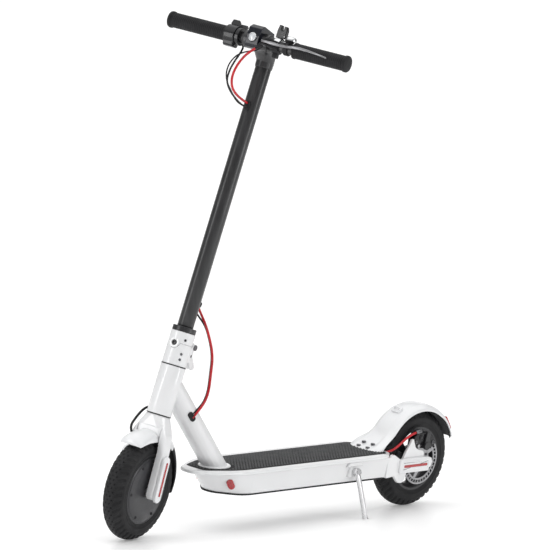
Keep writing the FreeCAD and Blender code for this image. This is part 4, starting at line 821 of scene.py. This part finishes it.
# ---- rear brake and stand ----
def make_rear_disc():
    """Brake rotor: slotted ring on a five-armed spider."""
    low, high = 33.1, 34.9
    pieces = [lathe("hub", [(low, 12), (high, 12), (high, 26), (low, 26)], REAR_WHEEL, STEEL_ROTOR),
              lathe("rim", [(low, 50.6), (high, 50.6), (high, 54), (high - 0.3, 54.3), (low, 54.3)], REAR_WHEEL,
                    STEEL_ROTOR, count=128),
              lathe("ring", [(low, 40.5), (high, 40.5), (high, 44.4), (low, 44.4)], REAR_WHEEL, STEEL_ROTOR,
                    count=128)]
    bar = rounded_outline([(-1.6, 43.8), (0.8, 43.8), (2.4, 51.2), (0.0, 51.2)], 0.3, steps=1)
    arm = rounded_outline([(-5, 25), (5, 25), (9, 41), (2, 41)], 1, steps=2)
    for k in range(36):
        turn = Matrix.Rotation(2 * pi * k / 36, 4, "X")
        pieces.append(slab("bar", bar, [(low, 0), (high, 0)], REAR_WHEEL @ turn, STEEL_ROTOR, across=True))
    for k in range(5):
        turn = Matrix.Rotation(2 * pi * (k + 0.3) / 5, 4, "X")
        pieces.append(slab("arm", arm, [(low, 0), (high, 0)], REAR_WHEEL @ turn, STEEL_ROTOR, across=True))
        angle = radians(72 * k + 36)
        spot = (high, 20 * cos(angle), 20 * sin(angle))
        pieces.append(socket_screw(spot, (1, 0, 0), 3.2, 1.8, REAR_WHEEL, DARK_STEEL))
    settle(join("brake_rotor", pieces), "rear_wheel", "steel", "brake_disc")


def make_caliper():
    """Black cast caliper: outer and inner halves, a bridge, its cylinder boss, two dark bolts and one bright one.
    """
    outline = rounded_outline([(806, 138), (806, 160), (814, 170), (856, 170), (871, 161), (879, 148), (877, 138),
                               (866, 136.4), (836, 136.4), (818, 138)], 7)
    pieces = [slab("outer", outline, [(37.6, 0.5), (38.2, 0), (41.4, 0), (42.8, 1.2)], UPRIGHT, BLACK_GLOSS,
                   across=True),
              slab("inner", outline, [(25, 1), (26, 0), (29.8, 0), (30.4, 0.5)], UPRIGHT, BLACK_GLOSS, across=True)]
    bridge = rounded_outline([(808, 165.5), (868, 165.5), (856, 170), (814, 170)], 2, steps=2)
    pieces.append(slab("bridge", bridge, [(30, 0), (38, 0)], UPRIGHT, BLACK_GLOSS, across=True))
    for y, z, finish in ((814, 152, DARK_STEEL), (869, 148, DARK_STEEL), (823, 142.5, STEEL)):
        pieces.append(socket_screw((42.4, y, z), (1, 0, 0), 3.6, 2.4, UPRIGHT, finish))
    for radius, reach in ((6.5, 1.2), (4.6, 2.0)):
        pieces.append(rod("boss", radius, (41.5, 829, 161), (42.6 + reach, 829, 161), UPRIGHT, BLACK_GLOSS))
    settle(join("caliper_cast", pieces), "frame", "black_metal", "caliper_body")


def make_stand():
    """Side stand: eye, oval leg that swells a little, and a bent foot cut level on the ground."""
    pivot, foot = Vector((76, 590, 112)), Vector((98, 612, 6))
    rest = (foot - pivot).normalized()
    axis = rest.cross(Vector((0.02, 0.985, -0.17)).normalized()).normalized()
    fore = axis.cross(rest)
    rings = []
    stations = [(3, 2.2, 5.5, 3.6), (7, 2.2, 6.6, 4.6), (14, 2.0, 6.6, 5.2), (40, 2.0, 6.1, 5.4),
                (75, 1.8, 5.8, 5.4), (98, 1.2, 6.0, 5.6), (104, 0, 5.0, 4.6)]
    for along, out, wide, thick in stations:
        centre = pivot + rest * along + axis * out
        rings.append(laid(centre, fore * wide, axis * thick, circle(1, 28)))
    pieces = [skin("leg", rings, UPRIGHT, STAND_SILVER),
              rod("eye", 8.5, pivot - axis * 3, pivot + axis * 5, UPRIGHT, STAND_SILVER, edge=1.2, hollow=4.1)]
    toe = smooth_path([foot - rest * 9, foot + rest * 1.5 + Vector((1, 2, 0)), foot + Vector((8, 12, -1.5))], 8)
    world_up = (UPRIGHT.inverted().to_3x3() @ Vector((0, 0, 1))).normalized()
    rings = []
    for k, (spot, way) in enumerate(zip(toe, ways_along(toe))):
        swell = 5.6 * (1 - 0.12 * (k / (len(toe) - 1)) ** 3)
        side = (axis - way * axis.dot(way)).normalized()
        points = laid(spot, side, way.cross(side), circle(swell, 20))
        rings.append([level_with_ground(point, world_up) for point in points])
    pieces.append(skin("toe", rings, UPRIGHT, STAND_SILVER))
    settle(join("stand_leg", pieces), "kickstand", "kick_silver", "kick_leg")


def level_with_ground(point, up):
    """Lifts a point of the foot onto the ground if it falls below."""
    height = (UPRIGHT @ point).z
    if height >= 0:
        return point
    return point - up * (height / MM)


# ---- fenders ----
FENDER_WALL = 2.5
ARCH_STEPS = 28
REAR_HALF = 32
REAR_EDGE = 107.5
REAR_CROWN = 121
RAMP_TURN = -52


def arch_line(half, edge, crown, crease=0.0):
    """Points (x, radius) across a fender from edge to edge, with creases along both shoulders."""
    points = []
    for k in range(ARCH_STEPS + 1):
        turn = pi * k / ARCH_STEPS
        rise = sin(turn) ** 0.8
        radius = edge + (crown - edge) * rise
        for at in (0.3, 0.7):
            radius += crease * exp(-((k / ARCH_STEPS - at) / 0.03) ** 2)
        points.append((half * cos(turn), radius))
    return points


def band_ring(half, edge, crown, turn, wall=FENDER_WALL, crease=0.0):
    """Closed section about the wheel's axle, turn degrees back from straight up."""
    angle = radians(turn)
    line = arch_line(half, edge, crown, crease) + arch_line(half - wall, edge, crown - wall)[::-1]
    return [(x, radius * sin(angle), radius * cos(angle)) for x, radius in line]


def ramp_point(place, wall, share, dip=0.0):
    """Point down the rear fender's ramp, in the wheel's own millimetres."""
    turn = pi * place
    rise = sin(turn) ** 0.8
    angle = radians(RAMP_TURN)
    radius = REAR_EDGE + (REAR_CROWN - REAR_EDGE - wall) * rise
    top = Vector(((REAR_HALF - wall) * cos(turn), radius * sin(angle), radius * cos(angle)))
    foot = Vector(((44 - wall) * cos(turn), 706 - WHEEL_BASE - (27 - wall) * rise, 139.1 - TYRE_RADIUS))
    length = (foot - top).length
    leave = Vector((0, -cos(angle), sin(angle))) * length
    slope = radians(12 + 48 * (1 - rise))
    arrive = Vector((0, -cos(slope), -sin(slope))) * length
    a = share * share * (3 - 2 * share)
    spot = top * (1 - a) + foot * a + leave * share * (1 - share) ** 2 + arrive * share * share * (share - 1)
    if dip:
        hollow = max(0.0, sin(pi * min(1, max(0, (share - 0.1) / 0.62)))) ** 0.5
        across = max(0.0, 1 - ((place - 0.5) / 0.2) ** 4)
        spot -= Vector((0, -0.6, 0.8)) * dip * hollow * across
        ridge = sum(exp(-((place - at) / 0.025) ** 2) for at in (0.27, 0.73))
        spot += Vector((0, -0.3, 0.9)) * ridge * 1.2
    return tuple(spot)


def make_rear_fender():
    rings = []
    places = [k / ARCH_STEPS for k in range(ARCH_STEPS + 1)]
    for i in range(17, 0, -1):
        share = i / 17
        rings.append([ramp_point(p, 0, share, 2.6) for p in places]
                     + [ramp_point(p, FENDER_WALL, share) for p in places[::-1]])
    for turn in range(RAMP_TURN, 32, 2):
        rings.append(band_ring(REAR_HALF, REAR_EDGE, REAR_CROWN, turn, crease=1.1))
    for k in range(17):
        share = k / 16
        lift = 1.6 * max(0.0, (share - 0.8) / 0.2)
        rings.append(band_ring(REAR_HALF - 10 * share, REAR_EDGE + 10.5 * share, REAR_CROWN + 6 * share + lift,
                               32 + 38 * share, crease=1.1 * (1 - share)))
    shell = skin("rear_fender_shell", rings, REAR_WHEEL, WHITE_PLASTIC)
    hook_place = REAR_WHEEL @ turned_x((0, -56, 107.5), 28)
    seat = slab("seat", box_outline(-11, -9, 11, 9, 4), [(11.5, 0.4), (12, 0), (16, 0), (16.6, 0.6)],
                REAR_WHEEL @ turned_x((0, -50.2, 96), 28), WHITE_PLASTIC)
    loop = hose("loop", [(-6, 0, 1), (-6, 0, 6), (-5.6, 0, 9.4), (0, 0, 9.8), (5.6, 0, 9.4), (6, 0, 6), (6, 0, 1)],
                2.0, hook_place, WHITE_PLASTIC)
    settle(join("rear_fender_smooth", [shell, seat, loop]), "frame", "white_plastic", "rear_fender")
    # A black shell just inside the tail of the rear fender, so the fender's underside over the tyre reads black.
    rings = []
    for k in range(19):
        share = k / 18
        turn = 17 + 53.5 * share
        flare = max(0.0, (turn - 32) / 38)
        rings.append(band_ring(30.6 - 9.5 * flare, 104.5 + 9.0 * flare, 117.5 + 5.5 * flare, turn, wall=2.0))
    settle(skin("tail_black_underside", rings, REAR_WHEEL, BLACK_MATTE), "frame", "black_plastic")


def front_edge(turn):
    """Radius of the front fender's side edge: it rises toward the tip, so the front edge is straight."""
    return 105 + 9.5 * max(0.0, (-turn - 14) / 31) ** 1.3


def make_front_fender():
    rings = []
    for k in range(6):
        share = k / 5
        swell = sqrt(max(0.0, 1 - (1 - share) ** 2))
        turn = -44 + 8 * share
        rings.append(band_ring(25 + 2 * swell, front_edge(turn), 117.5 + 9.5 * swell, turn, crease=0.4 * share))
    for turn in range(-34, 16, 2):
        rings.append(band_ring(27, front_edge(turn), 127 + max(0, turn + 10) * 0.1, turn, crease=0.4))
    for k in range(1, 7):
        share = k / 6
        rings.append(band_ring(27 - share, 105, 129.5 - 2.7 * share, 15 + 12 * share, crease=0.4))
    shell = skin("front_fender_smooth", rings, FRONT_WHEEL, WHITE_PLASTIC)
    settle(shell, "steering", "white_plastic", "front_fender")
    apron = slab("crown_apron", box_outline(-28.6, -27, 28.6, 13, 7),
                 [(112, 4), (116, 1.2), (122, 0), (138, 0), (139, 1)], FRONT_WHEEL, WHITE)
    settle(apron, "steering", "white_paint")
    marks = [(27.2, 25.6, 126.6), (46, 24, 121), (66, 22.5, 117.5), (83, 19, 116.5)]
    rings = []
    for (turn, half, crown), (turn_b, half_b, crown_b) in zip(marks, marks[1:]):
        for k in range(8):
            t = k / 8
            rings.append(band_ring(half + (half_b - half) * t, 105, crown + (crown_b - crown) * t,
                                   turn + (turn_b - turn) * t, crease=0.5))
    for k in range(5):
        t = k / 4
        rings.append(band_ring(19 - 3.5 * t ** 3, 105 + 1.5 * t ** 3, 116.5 - 0.8 * t, 83 + 2.4 * t))
    settle(skin("mudflap_smooth", rings, FRONT_WHEEL, BLACK_MATTE), "steering", "black_plastic", "front_mudflap")


# ---- steering head ----
def make_seals():
    """Black seal rings at both ends of the head tube."""
    for name, low, high, radius in (("seal_low", 157.0, 159.2, 26.2), ("seal_high", 261.8, 264.2, 26.3)):
        ring = lathe(name, [(low, 16.5), (low, radius - 0.5), (low + 0.5, radius), (high - 0.5, radius),
                            (high, radius - 0.5), (high, 16.5)], COLUMN, BLACK_MATTE, axis="z", count=72)
        settle(ring, "frame", "black_plastic")


def make_strips():
    """Red reflective strips let into the fork's end covers."""
    outline = box_outline(-3.1, -3.8, 3.1, 67.8, 2)
    for side, way in ((1, "left"), (-1, "right")):
        levels = flipped(side, ((52.9, 0), (54.1, 0), (54.6, 0.5)))
        strip = slab("fork_strip_" + way, outline, levels, FRONT_WHEEL @ turned_x((0, 0, 0), 5), RED_LENS,
                     across=True)
        settle(strip, "steering", "red_lens")


# ---- handlebar ----
BAR_HEIGHT = 948
BAR = STEERED @ Matrix.Translation((0, -50, BAR_HEIGHT))


def grip_profile(start, end):
    """Ribbed rubber with a flange at each end."""
    profile = [(start, 11.3), (start, 16.2), (start + 0.8, 16.9), (start + 3.2, 16.9), (start + 4.4, 15.4)]
    at = start + 6
    while at < end - 11:
        profile += [(at, 15.3), (at + 0.7, 15.9), (at + 2.4, 15.9), (at + 3.1, 15.3)]
        at += 4.4
    profile += [(end - 8.4, 15.4), (end - 7.6, 16.8), (end - 6.8, 17.4), (end - 2.6, 17.4), (end - 1.0, 16.8),
                (end, 15.0), (end + 0.2, 6), (end + 0.2, 0.4), (end - 2.8, 0.4), (end - 2.8, 11.3)]
    return profile


def make_grips():
    left = lathe("left", grip_profile(88.0, 216.5), BAR, GRIP_RUBBER, count=64)
    right = lathe("right", flipped(-1, grip_profile(76.0, 216.5)), BAR, GRIP_RUBBER, count=64)
    settle(join("grips_ribbed", [left, right]), "stem", "grip_rubber", "grips")


def make_brake_perch():
    """Bright clamp ring on the bar and the black perch that carries the lever."""
    ring = lathe("ring", [(38.6, 11.2), (38.6, 14.6), (40, 16.8), (43, 18.2), (48, 18.6), (52, 18), (54.4, 16.6),
                          (55.2, 14.6), (55.2, 11.2)], BAR, ALLOY, count=48, sweep=(-82, 82))
    under = lathe("under", [(39.4, 11.2), (39.4, 15.2), (40.4, 16.3), (54, 16.3), (54.8, 15.2), (54.8, 11.2)], BAR,
                  BLACK_MATTE, count=64)
    outline = rounded_outline([(40, -62), (55, -62), (50, -74), (42, -90), (28, -90), (24, -78), (36, -66)], 3)
    perch = [slab("upper", outline, soft_levels(951.9, 956.4, 0.9), STEERED, BLACK_MATTE),
             slab("lower", outline, soft_levels(939.8, 944.1, 0.9), STEERED, BLACK_MATTE)]
    neck = slab("neck", box_outline(39.5, -66.5, 55.2, -62, 2), soft_levels(940, 956, 1), STEERED, BLACK_MATTE)
    strap = slab("strap", box_outline(42.5, -7, 52.5, 7, 3), soft_levels(-25, -13, 1.2), BAR, BLACK_MATTE)
    barrel = rod("barrel", 4.5, (27, -82, 943), (20, -82, 934), STEERED, BLACK_MATTE, edge=0.8)
    pin = rod("pin", 3.0, (34, -82, 938.8), (34, -82, 957.2), STEERED, DARK_STEEL)
    adjuster = rod("adjuster", 3.4, (20.6, -82, 934.8), (16.6, -84.6, 929.4), STEERED, BLACK_GLOSS, edge=0.8)
    pieces = [ring, under, neck, strap, barrel, pin, adjuster] + perch
    settle(join("brake_perch", pieces), "stem", "bright_alloy", "brake_clamp")


def make_brake_blade():
    """Cast lever: broad root at the pivot, waved blade thinning to a small hooked tip."""
    stations = [(27, -84, 0.3, 5.0, 2.8), (31, -83.5, 0, 8.0, 3.5), (42, -84, 0, 8.0, 3.5),
                (56, -84.5, -0.4, 6.4, 3.4), (72, -88, -0.9, 5.0, 2.8), (90, -92.5, -0.2, 4.2, 2.2),
                (106, -96, 1.4, 4.0, 2.5), (124, -97, 2.6, 3.8, 2.8), (142, -94.5, 2.2, 3.4, 2.3),
                (160, -92, 0.9, 3.0, 1.8), (174, -92.2, -0.6, 2.8, 1.5), (181, -93.6, -1.5, 3.0, 1.5),
                (186, -95.6, -2.2, 3.2, 1.7), (189, -97, -2.8, 2.0, 1.2)]
    rings = []
    for x, y, up, reach, thick in stations:
        rings.append([(x, y + reach * copysign(abs(c) ** 0.7, c),
                       BAR_HEIGHT + up + thick * copysign(abs(s) ** 0.7, s)) for c, s in circle(1, 24)])
    settle(skin("brake_blade", rings, STEERED, LEVER_GREY), "brake_lever", "bright_alloy", "brake_lever")


def make_fold_lever():
    """Quick-release lever with a bulging S-shaped back and a flared tail."""
    outline = rounded_outline([(29, 297), (34, 296.5), (39, 293.6), (48, 289), (57, 281), (64, 273), (64, 266),
                               (57, 263.5), (47, 267), (40, 274), (33, 282), (29, 286)], 4)
    levels = [(-11.5, 1.6), (-10.8, 0.5), (-9.6, 0), (9.6, 0), (10.8, 0.5), (11.5, 1.6)]
    settle(slab("fold_lever_cast", outline, levels, STEERED, WHITE, across=True), "fold_lever",
           "fold_lever_white", "fold_lever")


def make_bell():
    """Bright dome on a black band, base and striker bracket."""
    dome = [(9.2, 0.3), (9.2, 5.5), (8.9, 7), (7.6, 9.6), (5, 11.4), (2, 12.0), (0.2, 12.1), (0, 11.2), (2, 11),
            (5, 10.4), (7.6, 8.2), (8.3, 5), (8.3, 0.3)]
    pieces = [lathe("dome", dome, BAR @ Matrix.Translation((73, 0, 16.5)), ALLOY, axis="z", count=64),
              lathe("band", [(66, 11.2), (66, 14), (66.6, 14.6), (75.4, 14.6), (76, 14), (76, 11.2)], BAR,
                    BLACK_MATTE, count=64),
              rod("base", 9, (71, 0, 12.5), (71, 0, 17.6), BAR, BLACK_MATTE)]
    for reach, top in ((68, 16.2), (60, 25.5)):
        pieces.append(slab("bracket", box_outline(55.4, 5.4, reach, 7.4, 0.6), soft_levels(13, top, 0.4), BAR,
                           BLACK_MATTE))
    pieces.append(rod("pin", 1.5, (57.6, -5.4, 22), (57.6, 6.2, 22), BAR, STEEL))
    settle(join("bell_turned", pieces), "stem", "bright_alloy", "bell_body")


def make_headlight():
    """Silver bezel rings round a clear domed lens over a ribbed reflector."""
    lamp = STEERED @ Matrix.Translation((0, 0, 952))
    bezel = [(-75.2, 7.5), (-75.2, 9.1), (-80.6, 9.1), (-81.6, 8.7), (-81.9, 8.2), (-81.5, 7.7), (-79.6, 7.3)]
    cup = [(-79.6, 7.4), (-78.6, 6.2), (-78.8, 5.8), (-77.6, 4.6), (-77.8, 4.2), (-76.8, 2.6), (-76.6, 0.3),
           (-75.2, 0.3), (-75.2, 7.4)]
    glass = [(-80.0, 7.3), (-80.9, 5.2), (-81.4, 2.6), (-81.5, 0.2), (-80.9, 0.2), (-80.4, 5.0), (-79.7, 7.2)]
    pieces = [lathe("turned", profile, lamp, material, axis="y", count=64)
              for profile, material in ((bezel, ALLOY), (cup, ALLOY), (glass, HEADLIGHT_GLASS))]
    settle(join("headlight_turned", pieces), "stem", "bright_alloy", "headlight")


def make_trim():
    """Smoked window on the sloping top, the ring round the power button, and the boot at the stem's foot."""
    place = STEERED @ Matrix.Translation((0, -50, 976.4)) @ Matrix.Rotation(radians(-7.8), 4, "X")
    outline = box_outline(-11.5, -13, 11.5, 8, 2.5)
    pane = slab("pane", outline, [(-0.6, 0), (0.5, 0), (0.9, 0.5)], place, WINDOW_GLASS)
    settle(pane, "stem", "navy_plastic")
    ring = lathe("button_ring", [(972.6, 4.6), (972.6, 6.4), (974.9, 6.2), (975.3, 5.7), (975.2, 4.8)],
                 STEERED @ Matrix.Translation((0, -34, 0)), ALLOY, axis="z", count=48)
    settle(ring, "stem", "bright_alloy")
    boot = rod("stem_boot", 7.2, (5.4, 10, 398.5), (9.4, 17.6, 397), STEERED, BLACK_MATTE, edge=2.2)
    settle(boot, "stem", "black_plastic")


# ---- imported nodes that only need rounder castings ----
def soften(name, voxel, rounds):
    """Remeshes a cast node finely and smooths it, which rounds every edge."""
    modifiers = frame["nodes"][name].modifiers
    modifiers.clear()
    remesh = modifiers.new("remesh", "REMESH")
    remesh.mode = "VOXEL"
    remesh.voxel_size = voxel * MM
    remesh.use_smooth_shade = True
    smooth = modifiers.new("smooth", "SMOOTH")
    smooth.factor = 0.5
    smooth.iterations = rounds


SOFT_NODES = {
    "fork": (1.2, 6), "fold_base": (0.8, 3), "fold_block": (0.8, 3), "yoke": (1.0, 7),
    "display_housing": (0.7, 3), "rear_arms": (0.9, 3),
    "throttle_body": (0.7, 6), "throttle_lever": (0.6, 4), "bell_striker": (0.5, 3),
    "fork_covers": (0.7, 3), "frame_grommets": (0.5, 3), "stem_grommets": (0.5, 3),
    "clamp_collar": (0.6, 3), "caliper_arm": (0.5, 3), "tail_light": (0.6, 3), "charge_flap": (0.5, 3),
}


make_camera()
make_studio()
for material, names in NODE_MATERIALS:
    for name in names.split():
        dress_node(name, material)
make_tyre("front", FRONT_WHEEL)
make_tyre("rear", REAR_WHEEL)
for make in (make_motor_covers, make_cables, make_deck_shell, make_deck_mat, make_reflectors, make_rear_disc,
             make_caliper, make_stand, make_rear_fender, make_front_fender, make_seals, make_strips, make_grips,
             make_brake_perch, make_brake_blade, make_fold_lever, make_bell, make_headlight, make_trim):
    make()
for name, (voxel, rounds) in SOFT_NODES.items():
    soften(name, voxel, rounds)
